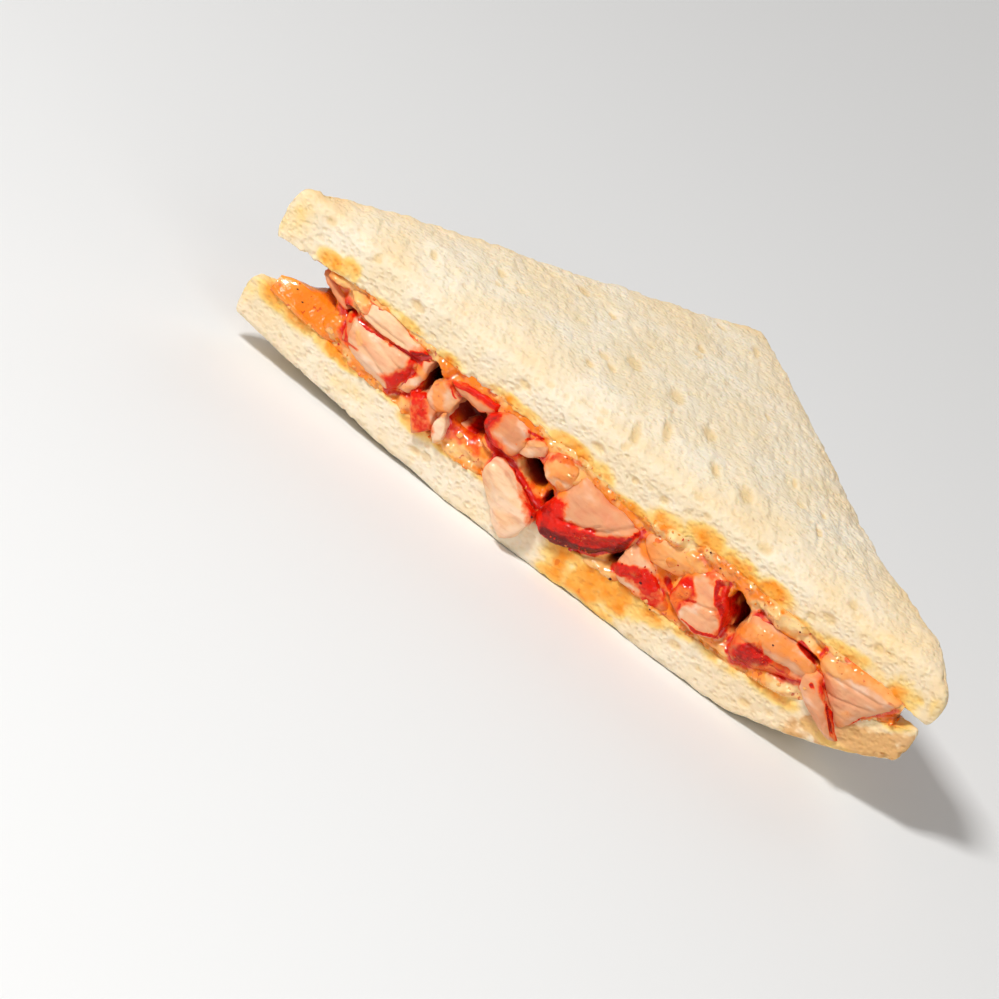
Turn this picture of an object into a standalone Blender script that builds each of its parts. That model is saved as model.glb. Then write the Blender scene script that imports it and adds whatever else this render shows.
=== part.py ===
"""One half of a crustless chicken tikka sandwich, cut corner to corner and lying flat.

Two slices of white bread hold a layer of chopped chicken tikka in tikka mayonnaise.
Every slab here (slices, spreads, the chicken that runs through the food) is a triangle seen
from above, with a lower and an upper height function. Every piece of chicken at the cut is
a block with its sides cut away by planes.

+X runs along the cut, +Y from the cut face to the square corner, +Z up. Lengths are in
millimetres until make_object() turns them into metres, and the heights are above the plate.
The origin is the middle of the footprint, on the plate.
"""

import math
import random

import bmesh
import bpy
import numpy as np
from mathutils import Vector, noise

MM = 0.001
GAP = 0.3  # clearance between neighbouring solids

# Driving dimensions: a 104 mm crustless slice cut along its diagonal
HALF_CUT = 74.0  # half the length of the diagonal cut
APEX_DEPTH = 74.0  # from the cut face to the square corner
SLICE_THICKNESS = 8.3  # the bottom slice, pressed by the filling
SPREAD = 0.6  # thickness of the mayonnaise spread on each slice
CHICKEN_DEPTH = 13.0  # how far the pieces at the cut reach into the food
CORE_INSET = 15.0  # where the chicken that runs through the food begins, behind them
BEVEL = 0.45  # on the edges of those pieces
LEG_INSET = 3.0  # how far the filling stays back from the trimmed sides
EDGE_ROUNDING = 0.9  # the slices' soft edges
TIP_START = 69.5  # where the two sharp corners begin to be blunted
TIP_LENGTH = 6.0  # the furthest that they reach beyond that

# Grid sizes
SLICE_ROWS = 26
SPREAD_ROWS = 26
CORE_ROWS = 18
SEED = 7

CRUMB = (0.90, 0.76, 0.57)
MAYONNAISE = (0.88, 0.44, 0.13)
CHOPPED = (0.72, 0.25, 0.10)
PALE_MEAT = (0.86, 0.55, 0.40)
MARINADE = (0.70, 0.08, 0.03)


def clear_scene():
    """Removes the startup objects."""
    for obj in list(bpy.data.objects):
        bpy.data.objects.remove(obj)


def bump(value, centre, width):
    """A smooth hill of height 1 at centre."""
    return np.exp(-(((value - centre) / width) ** 2))


def ramp(value, start, span, power):
    """0 up to start, then a curve that reaches 1 a span further on."""
    return np.clip((value - start) / span, 0.0, None) ** power


def side_distance(x, y):
    """How far a point is from the nearer of the two trimmed sides."""
    inside = HALF_CUT * (1 - y / APEX_DEPTH) - np.abs(x)
    return np.clip(inside * APEX_DEPTH / math.hypot(HALF_CUT, APEX_DEPTH), 0.0, None)


def bottom_lower(x, y):
    """Underside of the bottom slice: flat in the middle, its corners lifted by the pinch."""
    right = 12.5 * ramp(x, 36.0, 36.0, 1.6)
    left = 4.8 * ramp(-x, 20.0, 54.0, 1.2)
    apex = 3.0 * ramp(y, 50.0, 23.0, 1.5)
    curl = 0.9 * np.clip(1 - side_distance(x, y) / 6.0, 0, 1) ** 2 * np.clip(y / 8.0, 0, 1)
    return right + left + apex + curl


def bottom_upper(x, y):
    """Top of the bottom slice, thicker at its free left corner."""
    thickness = SLICE_THICKNESS + 0.8 * ramp(-x, 40.0, 34.0, 1.0) - 0.5 * bump(x, 0.0, 12.0)
    return bottom_lower(x, y) + thickness - 0.5 * np.exp(-side_distance(x, y) / 3.0)


def top_lower(x, y):
    """Underside of the top slice, which sinks and rises over the pieces at the cut."""
    over_pieces = 1.0 * bump(x, -52.0, 9.0) - 0.6 * bump(x, -33.0, 7.0) - 2.0 * bump(x, 8.0, 8.0)
    over_pieces = over_pieces + 1.2 * bump(x, 27.0, 9.0)
    heap = 1.2 * (1 - np.exp(-y / 12.0))
    droop = 1.2 * np.exp(-side_distance(x, y) / 5.0)
    return 22.3 + over_pieces * np.exp(-y / 14.0) + heap - droop


def top_upper(x, y):
    """Top of the sandwich: a low plateau, rounded at the cut and down to the sides."""
    plateau = 34.0 + 0.4 * bump(np.hypot(x, y - 26.0), 0.0, 26.0) + 0.6 * ramp(y, 55.0, 19.0, 1.5)
    cut_drop = (3.7 - 2.7 * np.clip(np.abs(x) / HALF_CUT, 0, 1) ** 5) * np.exp(-((y / 5.5) ** 1.3))
    side_drop = 0.9 * np.exp(-side_distance(x, y) / 2.5)
    right_dip = 2.3 * np.exp(-side_distance(x, y) / 12.0) * bump(x, 42.0, 17.0)
    return plateau - cut_drop - side_drop - right_dip


def spread_lower_top(x, y):
    """Upper surface of the mayonnaise on the bottom slice, with a thicker fold at the cut."""
    folds = 2.6 * bump(x, -21.5, 4.5) + 1.0 * bump(x, -55.0, 6.0) + 1.0 * bump(x, 49.0, 6.0)
    return bottom_upper(x, y) + GAP + SPREAD + folds * np.exp(-((y / 8.0) ** 2))


def spread_upper_bottom(x, y):
    """Lower surface of the mayonnaise under the top slice, hanging thick right of the middle."""
    hang = 2.8 * bump(x, 43.0, 7.0) + 1.2 * bump(x, 24.0, 8.0)
    return top_lower(x, y) - GAP - SPREAD - hang * np.exp(-((y / 7.0) ** 2))


def triangle_corners(cut_inset, side_inset):
    """The plan's three corners, moved in from the cut and from both trimmed sides."""
    slope = HALF_CUT / APEX_DEPTH
    along = side_inset * math.hypot(HALF_CUT, APEX_DEPTH) / APEX_DEPTH
    half = HALF_CUT - along - cut_inset * slope
    apex = APEX_DEPTH - along / slope
    return Vector((-half, cut_inset)), Vector((half, cut_inset)), Vector((0, apex))


class Slab:
    """A closed triangular slab between two height functions, as a bmesh in millimetres.

    Its plan is a triangular grid: row j has rows - j steps along the cut. The wall between
    the two faces is a stack of rings, drawn in at its top and bottom for the rounded edges.
    """

    def __init__(self, corners, rows, rings, rounding, lower, upper):
        self.mesh = bmesh.new()
        self.corners = corners
        self.rows = rows
        left, right, apex = corners
        self.step_x = (right - left) / rows
        self.step_y = (apex - left) / rows
        self.rim = [(i, 0) for i in range(rows)]
        self.rim += [(rows - j, j) for j in range(rows)]
        self.rim += [(0, rows - j) for j in range(rows)]
        self.outward = [self.rim_normal(i, j) for i, j in self.rim]
        under = self.grid(lower, rounding)
        over = self.grid(upper, rounding)
        self.upper_face = list(over.values())
        self.fill(over, False)
        self.fill(under, True)
        self.rings = [[under[key] for key in self.rim]]
        for ring in range(1, rings):
            self.rings.append(self.wall_ring(ring / rings, lower, upper))
        self.rings.append([over[key] for key in self.rim])
        self.close_wall()

    def place(self, i, j):
        """Plan position of a grid point."""
        return self.corners[0] + self.step_x * i + self.step_y * j

    def blunt_tips(self):
        """Draws in the two sharp ends, which reach TIP_LENGTH past TIP_START at most."""
        for vert in self.mesh.verts:
            beyond = abs(vert.co.x) - TIP_START
            if beyond > 0:
                reach = TIP_START + TIP_LENGTH * math.tanh(beyond / TIP_LENGTH)
                vert.co.x = math.copysign(reach, vert.co.x)

    def rim_normal(self, i, j):
        """Outward direction in plan at a point of the rim."""
        normal = Vector((0, 0))
        if j == 0:
            normal += Vector((0, -1))
        if i + j == self.rows:
            normal += Vector((self.step_y.y, self.step_y.x)).normalized()
        if i == 0:
            normal += Vector((-self.step_y.y, self.step_y.x)).normalized()
        return normal.normalized()

    def grid(self, height, inset):
        """One face's points, with those on the rim drawn in by the edge rounding."""
        points = {}
        outward = dict(zip(self.rim, self.outward))
        for i in range(self.rows + 1):
            for j in range(self.rows + 1 - i):
                spot = self.place(i, j) - outward.get((i, j), Vector((0, 0))) * inset
                points[i, j] = self.mesh.verts.new((spot.x, spot.y, height(spot.x, spot.y)))
        return points

    def wall_ring(self, share, lower, upper):
        """A ring of the wall at a share of the height between the two faces."""
        ring = []
        for i, j in self.rim:
            spot = self.place(i, j)
            z = lower(spot.x, spot.y) * (1 - share) + upper(spot.x, spot.y) * share
            ring.append(self.mesh.verts.new((spot.x, spot.y, z)))
        return ring

    def fill(self, points, downwards):
        """Triangles between the grid points of one face."""
        for i in range(self.rows):
            for j in range(self.rows - i):
                corners = [(i, j), (i + 1, j), (i, j + 1)]
                self.triangle(points, corners, downwards)
                if i + j + 1 < self.rows:
                    corners = [(i + 1, j), (i + 1, j + 1), (i, j + 1)]
                    self.triangle(points, corners, downwards)

    def triangle(self, points, corners, downwards):
        """One triangle of a face."""
        ordered = reversed(corners) if downwards else corners
        self.mesh.faces.new([points[key] for key in ordered])

    def close_wall(self):
        """Quads between each ring of the wall and the next."""
        count = len(self.rim)
        for low, high in zip(self.rings, self.rings[1:]):
            for k in range(count):
                after = (k + 1) % count
                self.mesh.faces.new((low[k], low[after], high[after], high[k]))

    def refine_cut_face(self):
        """Halves the mesh size on the cut face, where the crumb is open, and returns its points."""
        front = {vert for ring in self.rings for vert in ring[: self.rows + 1]}
        edges = [edge for edge in self.mesh.edges if set(edge.verts) <= front]
        bmesh.ops.subdivide_edges(self.mesh, edges=edges, cuts=1, use_grid_fill=True)
        return {vert for vert in self.mesh.verts if vert.co.y < 0.1}


def make_object(name, mesh, colour, roughness):
    """Puts a bmesh in millimetres into a named object in metres, with its own material."""
    bmesh.ops.triangulate(mesh, faces=mesh.faces)
    bmesh.ops.scale(mesh, vec=(MM, MM, MM), verts=mesh.verts)
    data = bpy.data.meshes.new(name)
    mesh.to_mesh(data)
    mesh.free()
    data.shade_smooth()
    data.set_sharp_from_angle(angle=math.radians(40))
    material = bpy.data.materials.new(name)
    material.use_nodes = True
    shader = material.node_tree.nodes["Principled BSDF"]
    shader.inputs["Base Color"].default_value = (*colour, 1)
    shader.inputs["Roughness"].default_value = roughness
    shader.inputs["Metallic"].default_value = 0
    data.materials.append(material)
    obj = bpy.data.objects.new(name, data)
    bpy.context.scene.collection.objects.link(obj)
    return obj


def uneven(point, size, seed):
    """Smooth noise between -1 and 1 at a point, with features of the given size."""
    return noise.noise(point / size + Vector((seed, 0, 0)))


def open_crumb(slab):
    """Relief of torn crumb on the cut face and of sparse pores on the slice's upper face."""
    draw = random.Random(SEED)
    for vert in slab.upper_face:
        vert.co.z += 0.15 * uneven(vert.co, 6.0, SEED + 3) - 0.15
        if draw.random() < 0.05:
            vert.co.z -= draw.uniform(0.3, 0.6)
    for vert in slab.refine_cut_face():
        vert.co.y += 0.35 * uneven(vert.co, 3.0, SEED) + 0.25
        if draw.random() < 0.22:
            vert.co.y += draw.uniform(0.4, 0.9)


def bread_slice(name, lower, upper):
    """One slice of bread: a triangular slab with rounded edges and open crumb at the cut."""
    slab = Slab(triangle_corners(0, 0), SLICE_ROWS, 3, EDGE_ROUNDING, lower, upper)
    slab.blunt_tips()
    open_crumb(slab)
    return make_object(name, slab.mesh, CRUMB, 0.9)


def spread(name, lower, upper, cut_inset):
    """A layer of mayonnaise that runs through the food, with a wavy front edge."""
    slab = Slab(triangle_corners(cut_inset, 2.6), SPREAD_ROWS, 2, 0.15, lower, upper)
    for vert in slab.mesh.verts:
        if vert.co.y < cut_inset + 1:
            vert.co.y += 0.5 * uneven(Vector((vert.co.x, 0, 0)), 5.0, SEED)
    return make_object(name, slab.mesh, MAYONNAISE, 0.25)


def chopped_chicken():
    """The heap of chopped chicken that runs through the food behind the pieces at the cut."""

    def lower(x, y):
        return spread_lower_top(x, y) + GAP + 0.2

    def upper(x, y):
        return spread_upper_bottom(x, y) - GAP - 0.2

    slab = Slab(triangle_corners(CORE_INSET, LEG_INSET), CORE_ROWS, 3, 1.6, lower, upper)
    for ring in slab.rings[1:-1]:
        for vert, outward in zip(ring, slab.outward):
            shift = outward * (1.8 * uneven(vert.co, 4.5, SEED) - 0.4)
            vert.co.x += shift.x
            vert.co.y = max(vert.co.y + shift.y, CORE_INSET)
    return make_object("chopped_chicken", slab.mesh, CHOPPED, 0.5)


class Piece:
    """One piece of chicken at the cut: its place on the cut face, its size and its lean.

    x, z        middle of its front face
    width       along its own length, height across it, both on the cut face
    tilt        turn of its length from the horizontal, in degrees
    lean_left, lean_right  turn of its two ends
    wedge       angle between its top and bottom, positive where it narrows to the right
    proud       how far it stands out of the cut face
    depth       how far it reaches back from its front face
    """

    def __init__(self, name, x, z, width, height, tilt=0, lean_left=0, lean_right=0,
                 wedge=0, proud=1.0, depth=CHICKEN_DEPTH, colour=PALE_MEAT):
        self.name = name
        self.colour = colour
        self.centre = Vector((x, depth / 2 - proud, z))
        self.planes = []
        sides = (
            (tilt + lean_right, width / 2),
            (tilt + 180 + lean_left, width / 2),
            (tilt + 90 - wedge / 2, height / 2),
            (tilt + 270 + wedge / 2, height / 2),
        )
        for angle, distance in sides:
            turn = math.radians(angle)
            normal = Vector((math.cos(turn), 0, math.sin(turn)))
            self.planes.append((normal, self.centre + normal * distance))
        for direction in (-1, 1):
            normal = Vector((0, direction, 0))
            self.planes.append((normal, self.centre + normal * depth / 2))
        self.chamfer_corners(width, height)

    def chamfer_corners(self, width, height):
        """Cuts off a few of the block's corners at seeded slants."""
        draw = random.Random(self.name)
        for _ in range(3):
            turn = draw.uniform(0, 2 * math.pi)
            normal = Vector((math.cos(turn), draw.uniform(-0.5, 0.1), math.sin(turn)))
            normal.normalize()
            reach = 0.5 * math.hypot(width * normal.x, height * normal.z)
            self.planes.append((normal, self.centre + normal * (reach * 1.02 + 0.3)))

    def block(self):
        """The piece as a bmesh: a large cube cut by every plane."""
        mesh = bmesh.new()
        bmesh.ops.create_cube(mesh, size=120)
        bmesh.ops.translate(mesh, vec=self.centre, verts=mesh.verts)
        for normal, point in self.planes:
            everything = mesh.verts[:] + mesh.edges[:] + mesh.faces[:]
            bmesh.ops.bisect_plane(mesh, geom=everything, plane_co=point, plane_no=normal,
                                   clear_outer=True, dist=1e-5)
            rim = [edge for edge in mesh.edges if edge.is_boundary]
            bmesh.ops.contextual_create(mesh, geom=rim)
        return mesh

    def corners(self):
        """The corners of the block."""
        mesh = self.block()
        found = [vert.co.copy() for vert in mesh.verts]
        mesh.free()
        return found


def keep_between(piece):
    """Planes that keep a piece off the mayonnaise below and above it."""
    corners = piece.corners()
    low_x = min(corner.x for corner in corners)
    high_x = max(corner.x for corner in corners)
    xs, ys = np.meshgrid(np.linspace(low_x, high_x, 25), np.linspace(0, CHICKEN_DEPTH, 9))
    for surface, side in ((spread_lower_top, 1), (spread_upper_bottom, -1)):
        heights = surface(xs, ys)
        slope = np.polyfit(xs.ravel(), heights.ravel(), 1)[0]
        offset = (side * (heights - slope * xs)).max() + GAP
        normal = Vector((slope, 0, -1)).normalized() * side
        piece.planes.append((normal, Vector((0, 0, side * offset))))


def keep_apart(first, second):
    """Parts two pieces by a plane along the side normal on which they overlap least."""
    a, b = first.corners(), second.corners()
    best = None
    for normal, _ in first.planes + second.planes:
        along = normal if normal.dot(second.centre - first.centre) > 0 else -normal
        front = max(along.dot(corner) for corner in a)
        back = min(along.dot(corner) for corner in b)
        if best is None or front - back < best[0]:
            best = (front - back, along, (front + back) / 2)
    overlap, along, middle = best
    if overlap > -GAP:
        first.planes.append((along, along * (middle - GAP / 2)))
        second.planes.append((-along, along * (middle + GAP / 2)))


def chicken_pieces():
    """The pieces that show at the cut, from left to right, each rounded by a bevel."""
    in_front = {"proud": 3.9, "depth": 3.4}
    pieces = [
        Piece("chicken_sliver", -57.5, 19.3, 9, 2.6, tilt=-22, proud=-0.8),
        Piece("chicken_upper_strip", -44.5, 21.2, 13.5, 4.2, tilt=-6, wedge=10, proud=0.8),
        Piece("chicken_left_slab", -43.6, 15.4, 12.5, 7.4, tilt=-3, lean_right=-10, proud=1.2),
        Piece("chicken_left_chip", -51.6, 16.0, 4.2, 4.8, tilt=20, proud=-0.5),
        Piece("chicken_flap", -36.3, 14.6, 3.2, 6.0, tilt=12, proud=-1.2),
        Piece("chicken_red_nugget", -32.6, 12.0, 5.4, 7.0, tilt=-14, proud=1.8, colour=MARINADE),
        Piece("chicken_pale_shard", -28.4, 12.2, 2.8, 6.6, tilt=8, lean_right=6, proud=1.9),
        Piece("chicken_coated_knob", -30.8, 17.2, 5.6, 4.8, tilt=22, proud=1.2),
        Piece("chicken_roof_strip", -25.6, 20.4, 9.6, 2.4, tilt=-7, proud=0.9),
        Piece("chicken_cave_lump", -24.4, 11.6, 5.6, 4.2, tilt=5, proud=-4.0, depth=9),
        Piece("chicken_grey_chunk", -17.8, 18.5, 9.4, 6.0, tilt=-6, lean_left=14, proud=1.2),
        Piece("chicken_tan_chip", -11.6, 19.6, 3.6, 5.2, tilt=-20, proud=0.7),
        Piece("chicken_leaning_wedge", -11.3, 9.4, 14.2, 6.6, tilt=-43, lean_left=-22,
              lean_right=24, **in_front),
        Piece("chicken_glazed_knob", -5.8, 19.2, 6.8, 6.0, tilt=-18, proud=1.4),
        Piece("chicken_large_chunk", 3.8, 14.6, 16.0, 10.6, tilt=23, lean_left=-8,
              lean_right=12, proud=2.8),
        Piece("chicken_red_crag", 16.6, 12.8, 13.0, 7.2, tilt=-28, lean_left=16, proud=1.9,
              colour=MARINADE),
        Piece("chicken_coated_block", 19.8, 19.2, 12.0, 5.6, tilt=-4, proud=1.0),
        Piece("chicken_pale_block", 28.0, 14.6, 10.0, 10.2, tilt=-18, wedge=-8, proud=1.5),
        Piece("chicken_peach_block", 42.4, 15.3, 14.4, 8.4, tilt=5, wedge=24, proud=1.5),
        Piece("chicken_tail", 53.4, 14.0, 13.0, 3.6, tilt=-38, wedge=12, proud=3.1, depth=2.6),
        Piece("chicken_end_chunk", 58.6, 19.2, 14.0, 8.6, tilt=0, lean_left=34,
              lean_right=-30, proud=1.6),
    ]
    overhanging = ("chicken_leaning_wedge", "chicken_tail")
    for piece in pieces:
        if piece.name not in overhanging:
            keep_between(piece)
    for index, first in enumerate(pieces):
        for second in pieces[index + 1:]:
            keep_apart(first, second)
    return [chicken_solid(piece) for piece in pieces]


def chicken_solid(piece):
    """A piece's block with its edges bevelled."""
    mesh = piece.block()
    bmesh.ops.recalc_face_normals(mesh, faces=mesh.faces)
    bmesh.ops.bevel(mesh, geom=mesh.edges[:], offset=BEVEL, affect="EDGES", segments=1,
                    profile=0.5, clamp_overlap=True)
    return make_object(piece.name, mesh, piece.colour, 0.35)


def stand_on_origin(objects):
    """Moves everything so that the origin is the middle of the footprint, on the plate."""
    points = np.array([vert.co for obj in objects for vert in obj.data.vertices])
    low, high = points.min(axis=0), points.max(axis=0)
    middle = (low + high) / 2
    for obj in objects:
        for vert in obj.data.vertices:
            vert.co -= Vector((middle[0], middle[1], low[2]))


def main():
    clear_scene()
    objects = [
        bread_slice("bread_bottom", bottom_lower, bottom_upper),
        bread_slice("bread_top", top_lower, top_upper),
        spread("mayonnaise_bottom", lambda x, y: bottom_upper(x, y) + GAP, spread_lower_top, 0.4),
        spread("mayonnaise_top", spread_upper_bottom, lambda x, y: top_lower(x, y) - GAP, 0.8),
        chopped_chicken(),
    ]
    objects += chicken_pieces()
    stand_on_origin(objects)


main()
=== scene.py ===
# %% [markdown]
# # Half a chicken tikka sandwich
#
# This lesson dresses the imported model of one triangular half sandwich: two slices of crustless white
# bread, orange tikka mayonnaise, and pieces of chicken that show at the cut.
#
# Every new piece is a closed grid of points worked out with numpy. The grids replace the plain
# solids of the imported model, which stay in place for the physics.

import itertools
import math

import bpy
import numpy as np
from mathutils import Matrix, Vector


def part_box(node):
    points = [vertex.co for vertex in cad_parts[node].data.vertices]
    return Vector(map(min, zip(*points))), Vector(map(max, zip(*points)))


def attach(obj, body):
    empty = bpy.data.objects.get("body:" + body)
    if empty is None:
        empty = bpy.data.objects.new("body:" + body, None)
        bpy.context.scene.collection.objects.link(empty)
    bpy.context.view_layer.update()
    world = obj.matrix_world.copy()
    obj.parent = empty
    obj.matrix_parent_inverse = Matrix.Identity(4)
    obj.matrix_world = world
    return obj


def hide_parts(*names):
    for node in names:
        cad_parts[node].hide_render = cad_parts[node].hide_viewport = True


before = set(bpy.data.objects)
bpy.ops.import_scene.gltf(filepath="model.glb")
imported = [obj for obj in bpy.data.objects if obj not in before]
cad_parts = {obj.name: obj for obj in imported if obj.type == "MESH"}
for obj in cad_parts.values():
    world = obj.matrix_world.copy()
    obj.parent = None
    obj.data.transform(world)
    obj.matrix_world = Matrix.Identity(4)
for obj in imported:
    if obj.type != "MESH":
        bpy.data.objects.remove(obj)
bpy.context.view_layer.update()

# %% [markdown]
# ## The cut's own frame
#
# All shapes below are in millimetres. X runs along the cut, Y goes from the cut face to the square
# corner, and Z is the height above the floor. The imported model's origin lies under the middle of
# the food, so one shift along Y brings the two frames together. The square corner of the bottom
# slice tells how far.

# %% Millimetres at the cut, metres in the model
MM = 0.001
HALF_CUT = 74.0
APEX_DEPTH = 74.0
TIP_START, TIP_LENGTH = 69.5, 6.0  # where the corners start to blunt, and over what length
FINE_STEP, COARSE_STEP = 0.36, 0.7  # spacing of the rows of points along the cut
_, bread_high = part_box("bread_bottom")
CUT_ORIGIN = np.array([0.0, bread_high.y / MM - APEX_DEPTH, 0.0])
TIP = bread_high.x / MM
print("cut face at y =", round(CUT_ORIGIN[1], 2), "mm, tips at x =", round(TIP, 2), "mm")

# %% [markdown]
# ## How high each layer lies
#
# The half sandwich is pinched at its right corner and open at its left one, so its layers are not
# flat. Each surface is a function of x and y: a level, plus ramps towards the corners and smooth
# hills over the larger pieces of chicken. They are the same functions that shape the solids.


# %% Layer heights
def bump(value, centre, width):
    """A smooth hill: e to the minus ((value - centre) / width) squared."""
    return np.exp(-(((value - centre) / width) ** 2))


def ramp(value, start, span, power):
    """0 up to start, then ((value - start) / span) to a power."""
    return np.clip((value - start) / span, 0.0, None) ** power


def side_distance(x, y):
    """Distance to the nearer trimmed side, from the equation of the two 45 degree lines."""
    inside = HALF_CUT * (1 - y / APEX_DEPTH) - np.abs(x)
    return np.clip(inside * APEX_DEPTH / math.hypot(HALF_CUT, APEX_DEPTH), 0.0, None)


def bottom_lower(x, y):
    """Underside of the bottom slice: 0 in the middle, ramps up to the corners, curled sides."""
    right = 12.5 * ramp(x, 36.0, 36.0, 1.6)
    left = 4.8 * ramp(-x, 20.0, 54.0, 1.2)
    apex = 3.0 * ramp(y, 50.0, 23.0, 1.5)
    curl = 0.9 * np.clip(1 - side_distance(x, y) / 6.0, 0, 1) ** 2 * np.clip(y / 8.0, 0, 1)
    return right + left + apex + curl


def bottom_upper(x, y):
    """Top of the bottom slice: its underside plus 8.3 mm, thicker at the free left corner."""
    thickness = 8.3 + 0.8 * ramp(-x, 40.0, 34.0, 1.0) - 0.5 * bump(x, 0.0, 12.0)
    return bottom_lower(x, y) + thickness - 0.5 * np.exp(-side_distance(x, y) / 3.0)


def top_lower(x, y):
    """Underside of the top slice: 22.3 mm, plus hills and dips over the pieces at the cut."""
    over_pieces = 1.0 * bump(x, -52.0, 9.0) - 0.6 * bump(x, -33.0, 7.0) - 2.0 * bump(x, 8.0, 8.0)
    over_pieces = over_pieces + 1.2 * bump(x, 27.0, 9.0)
    heap = 1.2 * (1 - np.exp(-y / 12.0))
    droop = 1.2 * np.exp(-side_distance(x, y) / 5.0)
    return 22.3 + over_pieces * np.exp(-y / 14.0) + heap - droop


def top_upper(x, y):
    """Top of the sandwich: 34 mm, falling to the cut, to the sides and over the right tip."""
    y = np.clip(y, 0, None)
    plateau = 34.0 + 0.4 * bump(np.hypot(x, y - 26.0), 0.0, 26.0) + 0.6 * ramp(y, 55.0, 19.0, 1.5)
    cut_drop = (3.7 - 2.7 * np.clip(np.abs(x) / HALF_CUT, 0, 1) ** 5) * np.exp(-((y / 5.5) ** 1.3))
    side_drop = 0.9 * np.exp(-side_distance(x, y) / 2.5)
    right_dip = 2.3 * np.exp(-side_distance(x, y) / 12.0) * bump(x, 42.0, 17.0)
    tip_drop = 4.6 * np.clip((x - 64.0) / 10.0, 0, 1) ** 2.4
    return plateau - cut_drop - side_drop - right_dip - tip_drop


print("heights at the middle of the cut:",
      [round(float(f(0.0, 0.0)), 1) for f in (bottom_lower, bottom_upper, top_lower, top_upper)])

# %% [markdown]
# ## Noise and bubbles
#
# Food is uneven at every scale. Smooth noise blends repeatable random numbers at the corners of a
# grid of cubes. Bread crumb is a foam, so its pores are made as the real ones are: spheres
# scattered through space, cut open by the surface. Where a point lies inside a sphere, it moves
# inwards until it meets the sphere's far wall.


# %% Repeatable noise
def hashed(cell, salt):
    """A number from 0 to 1 for each whole-number cell: its coordinates times primes, mixed by shifts."""
    mixed = (cell * np.array([73856093, 19349663, 83492791])).sum(axis=-1) + salt * 97531
    mixed = ((mixed ^ (mixed >> 13)) * 1274126177) & 0xFFFFFFFF
    return ((mixed ^ (mixed >> 15)) & 0xFFFF) / 0xFFFF


def noise(points, size, salt=0):
    """Smooth noise from -1 to 1: eight corner values blended by 3t^2 - 2t^3. size may differ by axis."""
    scaled = points / size
    cell = np.floor(scaled).astype(np.int64)
    part = scaled - cell
    weight = part * part * (3 - 2 * part)
    total = 0.0
    for corner in itertools.product((0, 1), repeat=3):
        share = np.where(np.array(corner) == 1, weight, 1 - weight).prod(axis=-1)
        total = total + share * hashed(cell + np.array(corner), salt)
    return 2 * total - 1


def fractal(points, size, octaves=3, salt=0):
    """Noise added to itself at half the size and half the strength, a few times over."""
    size = np.asarray(size, float)
    layers = [noise(points, size / 2**k, salt + k) / 2**k for k in range(octaves)]
    return sum(layers) / sum(0.5**k for k in range(octaves))


def smoothstep(value, low, high):
    """0 below low and 1 above high, joined by 3t^2 - 2t^3."""
    part = np.clip((value - low) / (high - low), 0, 1)
    return part * part * (3 - 2 * part)


# %% Bubbles cut open
# cell size, radii, share of the cells that hold a bubble, salt, squeeze along Z
WIDE, FINE = (2.8, (0.4, 1.2), 0.5, 11, 1.3), (1.3, (0.2, 0.7), 0.85, 21, 1.2)
RARE = (6.0, (0.4, 1.3), 0.45, 41, 1.0)


def bubbles(points, inward, cell, radii, share, salt, flat):
    """Distance along inward from each point to the far wall of a sphere round it, or 0 outside.

    One sphere at most sits in each cube of the given size. The distance t solves
    |point + t inward - centre| = radius. flat squeezes the spheres along Z.
    """
    stretch = np.array([1.0, 1.0, flat])
    scaled, ray = points * stretch, inward * stretch
    ray_square = (ray * ray).sum(axis=-1)
    home = np.floor(scaled / cell).astype(np.int64)
    deepest = np.zeros(points.shape[:-1])
    for offset in itertools.product((-1, 0, 1), repeat=3):
        here = home + np.array(offset)
        shift = np.stack([hashed(here, salt + axis) for axis in range(3)], axis=-1)
        apart = scaled - (here + shift) * cell
        radius = radii[0] + (radii[1] - radii[0]) * hashed(here, salt + 3)
        radius = np.where(hashed(here, salt + 4) < share, radius, 0.0)
        along = (apart * ray).sum(axis=-1)
        outside = (apart * apart).sum(axis=-1) - radius**2
        reach = -along + np.sqrt(np.clip(along**2 - ray_square * outside, 0, None))
        deepest = np.maximum(deepest, np.where(outside < 0, reach / ray_square, 0.0))
    return deepest


sample = np.random.default_rng(1).uniform(0, 50, (2000, 3))
down = np.broadcast_to([0.0, 0.0, -1.0], sample.shape)
print("share of points inside a fine bubble:", (bubbles(sample, down, *FINE) > 0).mean())

# %% [markdown]
# ## From a grid to a mesh
#
# Every piece here is one kind of thing: a grid whose columns run round it and join up, and whose
# first and last rows close on a pole. The helper joins the faces, turns them outwards by the sign
# of the volume that they enclose, and stores any values that the material reads at each point.


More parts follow.
